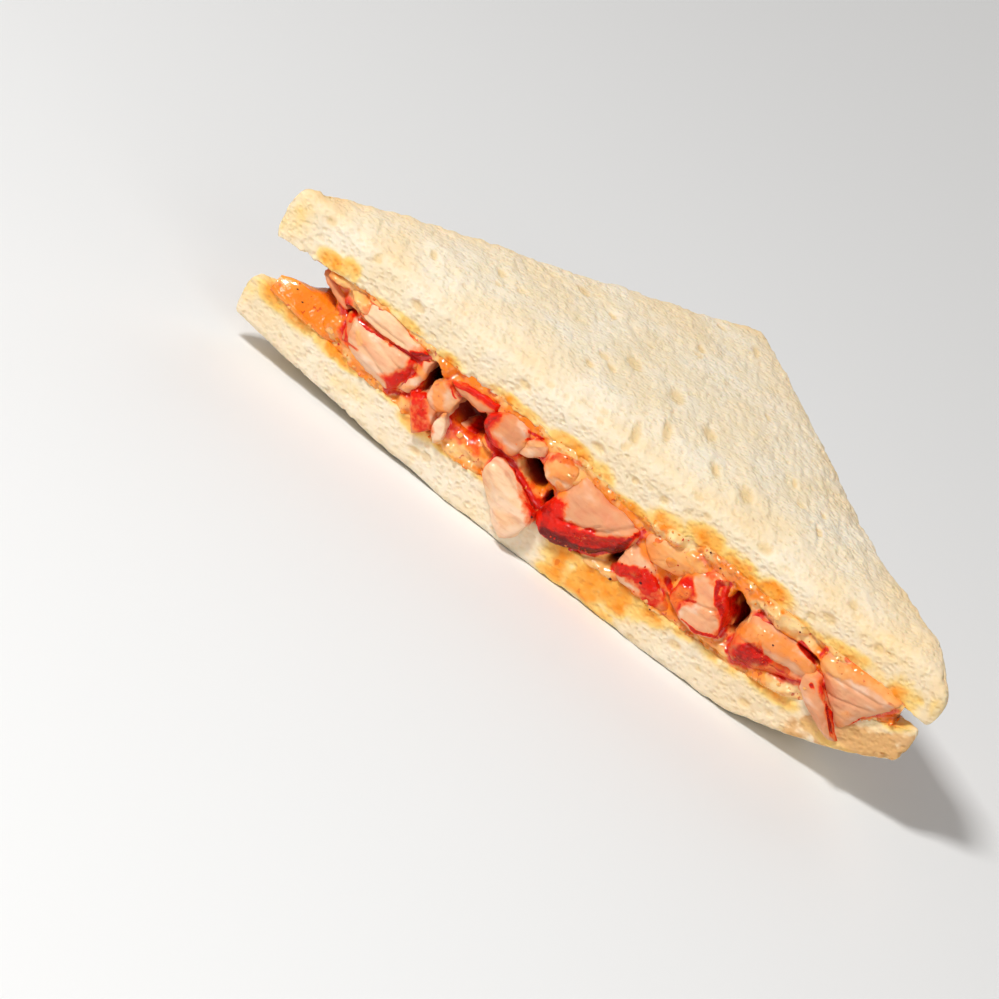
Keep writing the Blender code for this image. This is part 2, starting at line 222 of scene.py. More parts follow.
# %% Closed shells and pieces
def shell(grid, **values):
    """Points, quads, triangles and point values of one closed grid, given as rows, columns, xyz."""
    rows, columns = grid.shape[:2]
    points = np.concatenate([grid.reshape(-1, 3), grid[[0, -1]].mean(axis=1)])
    index = np.arange(rows * columns).reshape(rows, columns)
    after = np.roll(index, -1, axis=1)
    quads = np.stack([index[:-1], after[:-1], after[1:], index[1:]], axis=-1).reshape(-1, 4)
    first = np.full(columns, rows * columns)
    start = np.stack([first, after[0], index[0]], axis=-1)
    end = np.stack([first + 1, index[-1], after[-1]], axis=-1)
    triangles = np.concatenate([start, end])
    corners = points[quads]
    crossed = np.cross(corners[:, 2] - corners[:, 0], corners[:, 3] - corners[:, 1])
    if (corners.mean(axis=1) * crossed).sum() < 0:
        quads, triangles = quads[:, ::-1], triangles[:, ::-1]
    fields = {key: np.broadcast_to(value, (rows, columns)) for key, value in values.items()}
    fields = {key: np.concatenate([v.ravel(), v[[0, -1]].mean(axis=1)]) for key, v in fields.items()}
    return points, quads, triangles, fields


def outward(grid):
    """Unit normals of a closed grid, from the differences between neighbouring rows and columns."""
    across = np.roll(grid, -1, axis=1) - np.roll(grid, 1, axis=1)
    along = np.gradient(grid, axis=0)
    normal = np.cross(across, along)
    normal = normal / np.maximum(np.linalg.norm(normal, axis=-1, keepdims=True), 1e-9)
    middle = grid.reshape(-1, 3).mean(axis=0)
    return normal if ((grid - middle) * normal).sum() > 0 else -normal


def piece(name, shells, material, slot, *nodes):
    """One object made of closed shells in millimetres at the cut, which rides on the food."""
    points, faces, fields, start = [], [], {}, 0
    for some, quads, triangles, values in shells:
        points.append(some)
        faces += (quads + start).tolist() + (triangles + start).tolist()
        for key, value in values.items():
            fields.setdefault(key, []).append(value)
        start += len(some)
    mesh = bpy.data.meshes.new(name)
    placed = (np.concatenate(points) + CUT_ORIGIN) * MM
    mesh.from_pydata(placed.tolist(), [], faces)
    for key, value in fields.items():
        attribute = mesh.attributes.new(key, "FLOAT", "POINT")
        attribute.data.foreach_set("value", np.concatenate(value).astype(np.float32))
    mesh.shade_smooth()
    mesh.materials.append(material)
    obj = bpy.data.objects.new(name, mesh)
    bpy.context.scene.collection.objects.link(obj)
    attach(obj, "root")
    if nodes:
        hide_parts(*nodes)
    print(f"{name}: {sum(len(face) - 2 for face in faces)} triangles")
    return obj


# %% [markdown]
# ## A small language for materials
#
# A material is arithmetic on values that differ over the surface. This class wraps a node's output
# socket, so that an expression such as 1 - mask adds the Math nodes for it. Every other node comes
# from one method, which takes the node's type, its settings and the values or links of its sockets.


# %% Shader values
class Value:
    """An output socket that can be added, subtracted and multiplied in a Python expression."""

    def __init__(self, recipe, socket):
        self.recipe = recipe
        self.socket = socket

    def math(self, operation, first, second):
        """Adds a Math node for one operation on two values."""
        return self.recipe.node("Math", {"operation": operation}, {0: first, 1: second})

    def __add__(self, other):
        return self.math("ADD", self, other)

    def __sub__(self, other):
        return self.math("SUBTRACT", self, other)

    def __rsub__(self, other):
        return self.math("SUBTRACT", other, self)

    def __mul__(self, other):
        return self.math("MULTIPLY", self, other)

    __radd__ = __add__
    __rmul__ = __mul__


class Recipe:
    """A material and the nodes that feed its Principled shader."""

    def __init__(self, name, **constants):
        self.material = bpy.data.materials.new(name)
        self.material.use_nodes = True
        self.tree = self.material.node_tree
        self.shader = self.tree.nodes["Principled BSDF"]
        self.place = self.node("TexCoord", {}, {}, "Object")
        for key, value in constants.items():
            self.shader.inputs[key.replace("_", " ")].default_value = value

    def node(self, kind, settings, sockets, output=0):
        """Adds a node: its settings first, then its sockets' values or links."""
        node = self.tree.nodes.new("ShaderNode" + kind)
        for key, value in settings.items():
            setattr(node, key, value)
        for key, value in sockets.items():
            if isinstance(value, Value):
                self.tree.links.new(value.socket, node.inputs[key])
            else:
                node.inputs[key].default_value = value
        return Value(self, node.outputs[output])

    def attribute(self, name):
        """A value stored at the mesh's points."""
        return self.node("Attribute", {"attribute_name": name}, {}, "Fac")

    def grain(self, size, detail=2.0, stretch=(1, 1, 1)):
        """Noise from 0 to 1 with features of about the given size in millimetres."""
        scaled = self.node("Mapping", {}, {"Vector": self.place, "Scale": stretch})
        return self.node("TexNoise", {}, {"Vector": scaled, "Scale": 0.5 / (size * MM), "Detail": detail})

    def pits(self, size, stretch=(1, 1, 1)):
        """Distance to the nearest of many scattered points, about the given size apart."""
        scaled = self.node("Mapping", {}, {"Vector": self.place, "Scale": stretch})
        return self.node("TexVoronoi", {}, {"Vector": scaled, "Scale": 1 / (size * MM)}, "Distance")

    def step(self, value, low, high):
        """0 below low and 1 above high, with a smooth join."""
        return self.node("MapRange", {"interpolation_type": "SMOOTHSTEP"},
                         {"Value": value, "From Min": low, "From Max": high})

    def mix(self, factor, first, second):
        """A colour between two colours."""
        return self.node("Mix", {"data_type": "RGBA"}, {0: factor, 6: first, 7: second}, 2)

    def over(self, base, value, ends, share, screen):
        """A base colour with another laid over it, from nothing up to a share as the value steps up."""
        return self.mix(self.step(value, *ends) * share, base, colour(*screen))

    def feed(self, **sockets):
        """Links values to the Principled shader's sockets."""
        for key, value in sockets.items():
            self.tree.links.new(value.socket, self.shader.inputs[key.replace("_", " ")])
        print(f"{self.material.name}: {len(self.tree.nodes)} nodes")

    def relief(self, height, depth):
        """A bump of the given depth in millimetres."""
        return self.node("Bump", {}, {"Height": height, "Strength": 1.0, "Distance": depth * MM})


def colour(red, green, blue):
    """A screen colour from 0 to 255 as the linear light that Blender works in."""
    parts = [c / 255 for c in (red, green, blue)]
    return (*[c / 12.92 if c <= 0.04045 else ((c + 0.055) / 1.055) ** 2.4 for c in parts], 1.0)


print("bread white in linear light:", [round(c, 3) for c in colour(243, 226, 199)])

# %% [markdown]
# ## Bread
#
# Crumb scatters light inside its thin walls, which gives its soft, creamy white. The pores are painted
# darker and warmer, as painted shade for the light that bounces in them. Where sauce has soaked in,
# the bread turns yellow, then orange, and a little glossy. Real crumb could be made with a displacement
# texture, but a visible pore should be in the mesh, so only grain finer than half a millimetre is a bump.


# %% Bread material
def bread_material():
    """White crumb, warmer at its edges, with painted shade in its pores and at the low right of the cut
    face, then yellow and orange where it is stained.
    """
    recipe = Recipe("bread", Subsurface_Weight=0.3, Subsurface_Scale=0.0014, Specular_IOR_Level=0.25)
    recipe.shader.inputs["Subsurface Radius"].default_value = (1.0, 0.7, 0.4)
    pore, stain, warm = (recipe.attribute(name) for name in ("pore", "stain", "warm"))
    cloud, fine = recipe.grain(8.0, 3.0), recipe.grain(0.45, 4.0)
    mottle = recipe.grain(2.2, 3.0)
    cells = recipe.step(recipe.pits(1.0, (0.9, 1.0, 1.1)), 0.05, 0.6)
    crumb = recipe.mix(recipe.step(cloud, 0.35, 0.7), colour(247, 233, 209), colour(243, 223, 188))
    crumb = recipe.over(crumb, mottle, (0.45, 0.75), 0.5, (244, 222, 178))
    crumb = recipe.mix(warm * recipe.step(cloud, 0.2, 0.8), crumb, colour(252, 214, 158))
    # Painted shade: the pits and the pores are tinted darker and warmer, as recesses that get less light.
    crumb = recipe.mix((1 - cells) * 0.22, crumb, colour(238, 208, 152))
    crumb = recipe.over(crumb, pore, (0.1, 1.5), 0.7, (232, 200, 142))
    # Painted shade: tan brown where the value warm goes above 1, which is the low right of the bottom
    # slice's cut face.
    crumb = recipe.over(crumb, warm + mottle * 0.8 - 0.4, (0.9, 1.5), 0.7, (216, 158, 92))
    crumb = recipe.over(crumb, stain + fine * 0.2 - 0.1, (0.0, 0.5), 1.0, (255, 214, 130))
    tint = recipe.mix(recipe.step(mottle, 0.35, 0.65), colour(255, 152, 36), colour(255, 186, 84))
    speck = recipe.step(recipe.grain(0.8, 1.0), 0.68, 0.74)
    tint = recipe.mix(speck * 0.45, tint, colour(226, 92, 26))
    soaked = recipe.step(stain + fine * 0.3 - 0.15, 0.3, 1.0)
    height = fine * 0.7 + cells * 0.6
    recipe.feed(Base_Color=recipe.mix(soaked, crumb, tint), Roughness=0.9 - soaked * 0.6,
                Normal=recipe.relief(height, 0.24))
    return recipe.material


BREAD = bread_material()

# %% [markdown]
# A slice is a profile carried along the cut. At each x the profile is a loop in the y and z plane:
# up the cut face, back over the top, down the trimmed side and forward underneath. Its depth
# shrinks to nothing at the two tips. The loop's points are shares of the slice's depth and height,
# plus quarter circles at the four corners, so one template serves every flat layer of the food.


# %% A layer as a profile carried along the cut
def profile_template(front, over, back, under, corner):
    """Rows of (share of depth, share of height, radii along y, radii along z), once round the loop."""

    def straight(count, crowding=1.0):
        """Shares of a side at the middles of count steps."""
        return ((np.arange(count) + 0.5) / count) ** crowding

    def run(depth, height, y, z):
        """Rows for one side or corner of the loop."""
        return np.stack(np.broadcast_arrays(depth, height, y, z), axis=-1).astype(float)

    turn = straight(corner) * math.pi / 2
    sin, cos = np.sin(turn), np.cos(turn)
    t, s, u, v = straight(front), straight(over, 1.25), straight(back), straight(under)
    return np.concatenate([
        run(0, t, 0, 1 - 2 * t), run(0, 1, 1 - cos, sin - 1),
        run(s, 1, 1 - 2 * s, 0), run(1, 1, sin - 1, cos - 1),
        run(1, 1 - u, 0, 2 * u - 1), run(1, 0, cos - 1, 1 - sin),
        run(1 - v, 0, 2 * v - 1, 0), run(0, 0, 1 - sin, 1 - cos),
    ])


def layer(x, plan, lower, upper, radius, template):
    """Grid of the template's loop at each x.

    plan gives the front, the back and how far the ends are pinched. radius gives the corner radii
    at the lower and at the upper side.
    """
    front, back, pinch = (np.broadcast_to(part, x.shape)[:, None] for part in plan)
    depth, height, y_radii, z_radii = template.T
    radius = np.minimum(radius[0] + (radius[1] - radius[0]) * height, 0.48 * (back - front))
    y = front + depth * (back - front) + y_radii * radius
    across = np.broadcast_to(x[:, None], y.shape)
    low, high = lower(across, y), upper(across, y)
    z = low * (1 - height) + high * height + z_radii * radius
    middle = (low + high) / 2
    return np.stack([across, y, middle + (z - middle) * pinch], axis=-1)


def stations(low, high, spacing, ends=2.6, count=9):
    """Values of x from low to high, evenly spaced, but closer and closer over the last few mm."""
    turn = (1 - np.cos(np.linspace(0.12, math.pi / 2, count))) * ends
    middle = np.arange(low + ends + spacing, high - ends, spacing)
    return np.concatenate([low + turn, middle, high - turn[::-1]])


def ellipse_end(distance, radius, power=2.0):
    """1 away from an end, falling to almost 0 at it, as the side of a rounded corner does."""
    near = np.clip(1 - distance / radius, 0, 1)
    return (1 - 0.985 * near**power) ** 0.5


def bread_plan(x, tip, salt):
    """Front, back and pinch of a slice at x: the legs' 45 degree lines, blunted at the tips."""
    stretched = np.abs(x) * TIP / tip
    beyond = np.clip((stretched - TIP_START) / TIP_LENGTH, 0, 0.99)
    straight = np.minimum(stretched, TIP_START) + TIP_LENGTH * np.arctanh(beyond)
    leg = APEX_DEPTH + 0.4 - np.hypot(straight, 1.2)
    line = np.stack([x, 0 * x, 0 * x], axis=-1)
    wavy = 0.9 * noise(line, 11.0, salt) + 0.4 * noise(line, 3.4, salt + 1)
    leg = leg + (wavy - 0.2) * smoothstep(leg, 1, 10)
    middle = np.maximum(leg, 2.4) / 2
    half = middle * ellipse_end(tip - np.abs(x), 2.4)
    return middle - half, middle + half, ellipse_end(tip - np.abs(x), 1.7, 2.6)


x_line = stations(-TIP, TIP, FINE_STEP)
print("bread rows:", len(x_line))

# %% [markdown]
# The crumb differs from face to face. The cut tears bubbles open and leaves them wide and a little
# flattened. The top face was a cut side of the loaf too, but pressed smooth: its crumb is fine and
# streaky, with a few pores of 2 or 3 mm, which are placed where they lie. Stains follow the sauce,
# so they are listed as well.

# %% Pores and stains
TOP_PORES = (  # x, y, half width, half length
    (-26.3, 36.4, 1.5, 1.6), (-19.2, 35.2, 1, 1.1), (-9.2, 22.9, 1.8, 2.1), (0.8, 21.8, 1.6, 2.6),
    (9.8, 18, 1.5, 2.4), (-11.2, 15.6, 1, 1.1), (15.5, 8.2, 1, 2), (22.5, 8, 1.5, 2),
    (36.2, 13.9, 0.8, 1.6), (34.5, 21.4, 0.8, 0.8), (26.6, 23.9, 0.5, 1.6), (49.7, 2.4, 1, 1),
    (2.7, 62.3, 0.8, 2), (-14.3, 11.7, 1, 1.1), (4.5, 8.5, 1, 3), (1, 2.7, 1, 3), (-38, 20, 1, 1.4),
    (-48, 9, 0.8, 1.2), (14, 40, 0.8, 1.3), (-4, 47, 0.9, 1.2),
)
CUT_PORES = (  # x, z, half width, half height
    (31.4, 30.2, 1.6, 1), (-65.1, 30.3, 1.1, 1), (-54.4, 29.8, 1, 0.8), (-20, 27.5, 1.3, 0.8),
    (-3, 26.5, 1.2, 0.8), (48, 27, 1.5, 0.9), (58, 28, 1.2, 0.9), (-30, 4.5, 1.3, 0.7),
    (28, 5, 1.4, 0.8), (44, 4.2, 1.3, 0.7), (-44, 27.4, 1.2, 0.8), (12, 26, 1.1, 0.8),
)
STAINS = (  # x, z, half width, half height, strength
    (-65.5, 12.8, 5.5, 3.2, 0.8), (-60, 12.4, 6, 3.4, 1.05), (-51, 11.4, 8, 2.8, 1),
    (-71, 26.5, 4, 6, 0.22), (-61.5, 24.3, 3.4, 1.9, 1), (-57.5, 25, 2.6, 2.6, 0.8),
    (-40, 10.8, 5, 2, 0.7), (-32, 8.6, 5, 2, 0.6), (-25, 9, 8, 1.8, 0.75), (-46, 23.5, 8, 1.4, 0.5),
    (-34, 22, 4, 2.2, 0.8), (-19, 23.4, 8, 1.5, 0.7), (-7, 23.2, 5.5, 2.3, 0.85), (0, 22, 3.6, 3, 0.9),
    (8, 20.8, 6, 1.8, 0.8), (15.5, 21.8, 5.4, 3.8, 0.8), (22.5, 24.4, 5.4, 3.2, 0.95), (29, 24, 8, 3, 1),
    (36.5, 24.4, 6, 2.6, 0.85), (45, 22.6, 7, 1.5, 0.6), (56, 23.6, 8, 2.2, 0.65),
    (66, 23.5, 4.4, 4.2, 0.75), (72, 25.5, 2, 2.5, 0.3), (4, 5.4, 6, 3.8, 0.8), (8.5, 4.6, 6, 4.6, 1.1),
    (14, 5.6, 7, 3.8, 1.15), (4, 1.6, 5, 2.2, 0.9), (19.5, 7.2, 6.5, 2.8, 0.8), (13, 1, 5, 2, 0.5),
    (26.5, 8.6, 5, 2.2, 0.6), (36, 8, 6, 1.8, 0.5), (46, 9.4, 7, 2.2, 0.7), (66, 19.4, 5.5, 2.8, 0.85),
    (61, 8.2, 8, 1.6, 0.35), (-14, 8.6, 7, 1.6, 0.5), (-46, 6.5, 7, 2.4, 0.16), (60, 30, 12, 4, 0.12),
    (-71.5, 11, 3, 5, 0.2),
)


def stained(grid):
    """How much sauce has soaked in: the strongest of the stains, faded by depth from the cut."""
    x, y, z = np.moveaxis(grid, -1, 0)
    amount = np.zeros(x.shape)
    for cx, cz, width, height, strength in STAINS:
        far = np.sqrt(((x - cx) / width) ** 2 + ((z - cz) / height) ** 2)
        amount = np.maximum(amount, strength * smoothstep(1.3 - far, 0.0, 1.0))
    ragged = 1 + 0.9 * fractal(grid, 2.6, 3, 31)
    return np.clip(amount * ragged, 0, 1.2) * np.exp(-np.clip(y - 1.5, 0, None) / 3.0)


def dishes(first, second, places, slant):
    """1 inside each listed ellipse and 0 outside, with a slope between. slant leans the second axis."""
    inside = np.zeros(first.shape)
    for a, b, width, length in places:
        far = np.hypot((first - a + slant * (second - b)) / width, (second - b) / length)
        inside = np.maximum(inside, smoothstep(1.6 - far, 0.0, 1.3))
    return inside


def crumb(grid, stain):
    """Grid with its crumb cut in, and the point values that the bread material reads."""
    normal = outward(grid)
    inward = -normal
    x, y, z = np.moveaxis(grid, -1, 0)
    cut = smoothstep(-normal[..., 1], 0.3, 0.75) * smoothstep(4.0 - y, 0.0, 1.5)
    crown = smoothstep(normal[..., 2], 0.55, 0.9)
    side = np.clip(1 - cut - crown, 0, 1)
    wide = np.minimum(bubbles(grid, inward, *WIDE), 1.1)
    fine = np.minimum(bubbles(grid, inward, *FINE), 0.7)
    rare = np.minimum(bubbles(grid, inward, *RARE), 1.0)
    listed = dishes(x, z, CUT_PORES, 0.0) * cut + dishes(x, y, TOP_PORES, 0.35) * crown
    depth = cut * np.maximum(0.3 * wide, 0.28 * fine)
    depth = np.maximum(depth, crown * np.maximum(0.34 * rare, 0.26 * fine))
    depth = np.maximum(depth, side * np.maximum(0.3 * wide, 0.32 * fine))
    depth = np.maximum(depth, 0.5 * listed) * (1 - 0.7 * np.clip(stain, 0, 1))
    streaked = np.stack([x + 0.35 * y, y, z], axis=-1)
    streak = fractal(streaked, (1.0, 5.0, 3.0), 2, 9)
    filling = np.maximum(bump(z, bottom_upper(x, 0 * x), 1.6), bump(z, top_lower(x, 0 * x), 1.6)) * cut
    rough = (0.16 + 0.5 * filling) * fractal(grid, 1.6, 3, 3) + 0.4 * fractal(grid, 7.0, 3, 7)
    rough = rough + crown * (0.2 * streak + 0.42 * fractal(grid, 3.0, 3, 8))
    moved = grid + inward * (depth + rough + 0.1)[..., None]
    edge = side_distance(x, y)
    warm = np.exp(-edge / 6.0) * (y > 1) + 0.6 * np.exp(-np.clip(y, 0, None) / 5.0) * crown
    warm = np.clip(warm + 0.45 * np.exp(-((TIP - np.abs(x)) / 8.0)), 0, 1)
    # Painted shade at the low right of the bottom slice's cut face, carried in the value warm.
    low_right_shade = 1.5 * smoothstep(x, 48.0, 60.0) * smoothstep(bottom_upper(x, y) - 0.5 - z, 0.0, 4.0) * cut
    low_right_shade = low_right_shade * np.clip(1 + 1.4 * fractal(grid, 2.2, 3, 15), 0, 2)
    warm = np.clip(warm + 0.55 * smoothstep(x, 30.0, 58.0) * cut, 0, 1)
    return moved, {"pore": np.clip(depth / 0.32, 0, 1.4), "warm": warm + low_right_shade, "stain": stain}


def bread(name, lower, upper, tip, radius, template, salt):
    """One slice of bread, which replaces the solid of the same name."""
    x = x_line * tip / TIP
    grid = layer(x, bread_plan(x, tip, salt), lower, upper, radius, template)
    moved, values = crumb(grid, stained(grid))
    return piece(name + "_crumb", [shell(moved, **values)], BREAD, "bread", name)


bread("bread_top", top_lower, top_upper, TIP, (0.6, 1.7), profile_template(44, 118, 14, 16, 5), 1)
bread("bread_bottom", bottom_lower, bottom_upper, TIP - 0.9, (1.3, 0.6),
      profile_template(40, 50, 16, 40, 5), 2)

# %% [markdown]
# ## Tikka mayonnaise
#
# The sauce is thick, glossy and slightly see-through, orange where it is thin over bread and
# peach where it is deep and creamy, with flecks of red spice. A clear coat gives the wet shine.


# %% Mayonnaise material
def sauce_material():
    """Orange sauce: peach by the value pale, red by the value red, dark brown by the value deep, which is
    painted shade in the hollows and the own colour of the dark specks.
    """
    recipe = Recipe("tikka_mayonnaise", Subsurface_Weight=0.3, Subsurface_Scale=0.0012, Coat_Roughness=0.05,
                    Specular_IOR_Level=0.3)
    recipe.shader.inputs["Subsurface Radius"].default_value = (1.0, 0.45, 0.15)
    pale, red, deep = (recipe.attribute(name) for name in ("pale", "red", "deep"))
    swirl, fine = recipe.grain(3.0, 3.0), recipe.grain(0.7, 3.0)
    body = recipe.mix(recipe.step(swirl, 0.4, 0.65), colour(250, 134, 24), colour(252, 160, 60))
    body = recipe.over(body, pale + swirl * 0.4 - 0.2, (0.2, 0.8), 1.0, (253, 192, 116))
    body = recipe.over(body, pale, (0.85, 1.5), 1.0, (254, 214, 150))
    body = recipe.over(body, red + fine * 0.6 - 0.3, (0.15, 0.5), 0.8, (246, 84, 18))
    body = recipe.over(body, red + fine * 0.6 - 0.3, (0.45, 0.8), 1.0, (216, 22, 3))
    fleck = recipe.step(recipe.grain(0.5, 1.0), 0.67, 0.73)
    body = recipe.mix(fleck * 0.7, body, colour(206, 60, 14))
    # Painted shade: dark brown to maroon in the hollows between the pieces; the specks get the same dark
    # colour as their own.
    body = recipe.over(body, deep, (0.05, 0.4), 1.0, (158, 56, 30))
    body = recipe.over(body, deep, (0.4, 0.9), 1.0, (78, 10, 4))
    recipe.feed(Base_Color=body, Roughness=0.2 + fine * 0.12, Coat_Weight=0.9 - deep * 0.6,
                Normal=recipe.relief(fine + swirl, 0.3))
    return recipe.material


SAUCE = sauce_material()

# %% [markdown]
# Two thin layers are spread on the slices and run right through the food. They are made with the
# same profile as the bread. On the free left corner the lower one lies open, lumpy and shiny.


# %% Mayonnaise layers
front_points, front_skin = [], []  # what the sauce, crumbs and beads further on are laid upon


def leg_at(x):
    """How far behind the cut the trimmed side lies at x."""
    return APEX_DEPTH - np.abs(x) * APEX_DEPTH / HALF_CUT


def lumps(x, y, mound):
    """Uneven thickness of the spread: rounded lumps, and a mound on the open corner with thin edges."""
    spot = np.stack([x, y, 0 * x], axis=-1)
    rim = smoothstep(np.minimum(y + 0.6, side_distance(x, y) - 1.0), 0.0, 3.0)
    corner = mound * smoothstep(-x, 48, 57) * rim
    film = 0.2 * np.clip(0.55 + fractal(spot, 3.4, 3, 61), 0, None)
    return film + corner * (1 + 0.5 * noise(spot, 4.0, 64))


def spread_layer(name, lower, upper, start, ends):
    """A spread between two heights, set back by start from the cut and about 3 mm from the sides."""
    x = stations(*ends, COARSE_STEP)
    front, back, _ = bread_plan(x, TIP, 5)
    line = np.stack([x, 0 * x, 0 * x], axis=-1)
    wave = 0.5 * noise(line, 5.0, 51) + 0.35 * noise(line, 2.2, 52)
    inside = 3.0 + 1.2 * noise(line, 7.0, 53) + 0.6 * noise(line, 2.6, 54)
    back = np.maximum(back - inside, front + 0.5)
    front = np.minimum(front + start(x) + wave, back - 0.3)
    template = profile_template(6, 70, 6, 24, 3)
    grid = layer(x, (front, back, 1.0), lower, upper, (0.35, 0.35), template)
    pale = (0.35 + 0.5 * fractal(grid, 6.0, 2, 55)) * (1 - 0.9 * smoothstep(-grid[..., 0], 50, 57))
    front_points.append(grid[(grid[..., 0] < -50) & (grid[..., 1] < 9)])
    front_skin.append(0 * front_points[-1][:, 0])
    return piece(name + "_spread", [shell(grid, pale=pale, red=0.0, deep=0.0)], SAUCE, "mayonnaise", name)


spread_layer("mayonnaise_bottom", lambda x, y: bottom_upper(x, y) - 0.3,
             lambda x, y: bottom_upper(x, y) + 0.5 + lumps(x, y, 2.8),
             lambda x: 2.4 - 2.9 * smoothstep(-x, 50, 57), (-TIP + 5.4, TIP - 5.5))
spread_layer("mayonnaise_top", lambda x, y: top_lower(x, y) - 0.5 - lumps(x, y, 0.2),
             lambda x, y: top_lower(x, y) + 0.3, lambda x: 2.6 + 0 * x, (-TIP + 9.0, TIP - 5.5))

# %% [markdown]
# ## Chicken
#
# The pieces are cooked breast, cut into blocks after marinating. So each has pale, faintly
# fibrous faces where the knife went, and a bright red, granular skin on the sides that had been
# outside. The material blends the two by a value stored at each point, and adds the sauce that
# clings to the piece.


# %% Chicken material
def chicken_material():
    """Meat between two tones, partly painted shade, then orange, red and maroon by the value skin, the
    maroon partly painted shade on undersides, then sauce by coat.
    """
    recipe = Recipe("chicken_tikka", Subsurface_Weight=0.12, Subsurface_Scale=0.001, Coat_Roughness=0.05,
                    Specular_IOR_Level=0.12)
    recipe.shader.inputs["Subsurface Radius"].default_value = (1.0, 0.4, 0.2)
    skin, coat, tone = (recipe.attribute(name) for name in ("skin", "coat", "tone"))
    cloud, fine = recipe.grain(3.5, 3.0), recipe.grain(0.45, 3.0)
    blush = recipe.grain(2.2, 2.0, (0.6, 1.0, 1.3))
    fibre = recipe.grain(0.8, 3.0, (0.35, 1.0, 1.6))
    # tone: partly the meat's own grey-pink, partly painted shade that darkens whole pieces.
    meat = recipe.mix(tone, colour(224, 146, 100), colour(254, 212, 168))
    meat = recipe.over(meat, cloud, (0.42, 0.7), 0.5, (248, 168, 108))
    meat = recipe.over(meat, blush, (0.52, 0.68), 0.45, (255, 228, 204))
    meat = recipe.over(meat, 1 - blush, (0.52, 0.66), 0.35, (226, 120, 84))
    meat = recipe.over(meat, fibre, (0.5, 0.75), 0.35, (216, 132, 94))
    edge = skin + fine * 0.55 + cloud * 0.4 - 0.48
    body = recipe.over(meat, edge, (0.05, 0.45), 0.85, (250, 116, 44))
    body = recipe.over(body, edge, (0.34, 0.66), 1.0, (230, 26, 0))
    # The two darkest tiers are partly the skin's own dark red and partly painted shade: strokes stronger
    # than 1, as along the large chunk's lower rim, darken undersides to maroon.
    body = recipe.over(body, edge, (0.72, 1.15), 0.9, (150, 4, 0))
    body = recipe.over(body, edge, (1.15, 1.5), 0.8, (88, 0, 0))
    sauce = recipe.mix(recipe.step(cloud, 0.4, 0.65), colour(250, 142, 44), colour(253, 184, 108))
    speck = recipe.step(recipe.grain(0.45, 1.0), 0.68, 0.74)
    sauce = recipe.mix(speck * 0.6, sauce, colour(206, 60, 14))
    covered = recipe.step(coat + fine * 0.5 + cloud * 0.3 - 0.4, 0.0, 0.9) * 0.85
    height = fine * (0.5 + skin * 0.7) + fibre * 0.7 + cloud * 0.6
    recipe.feed(Base_Color=recipe.mix(covered, body, sauce), Roughness=0.36 - covered * 0.14 + fine * 0.1,
                Coat_Weight=0.3 + covered * 0.3 + skin * 0.1, Normal=recipe.relief(height, 0.26))
    return recipe.material


CHICKEN = chicken_material()
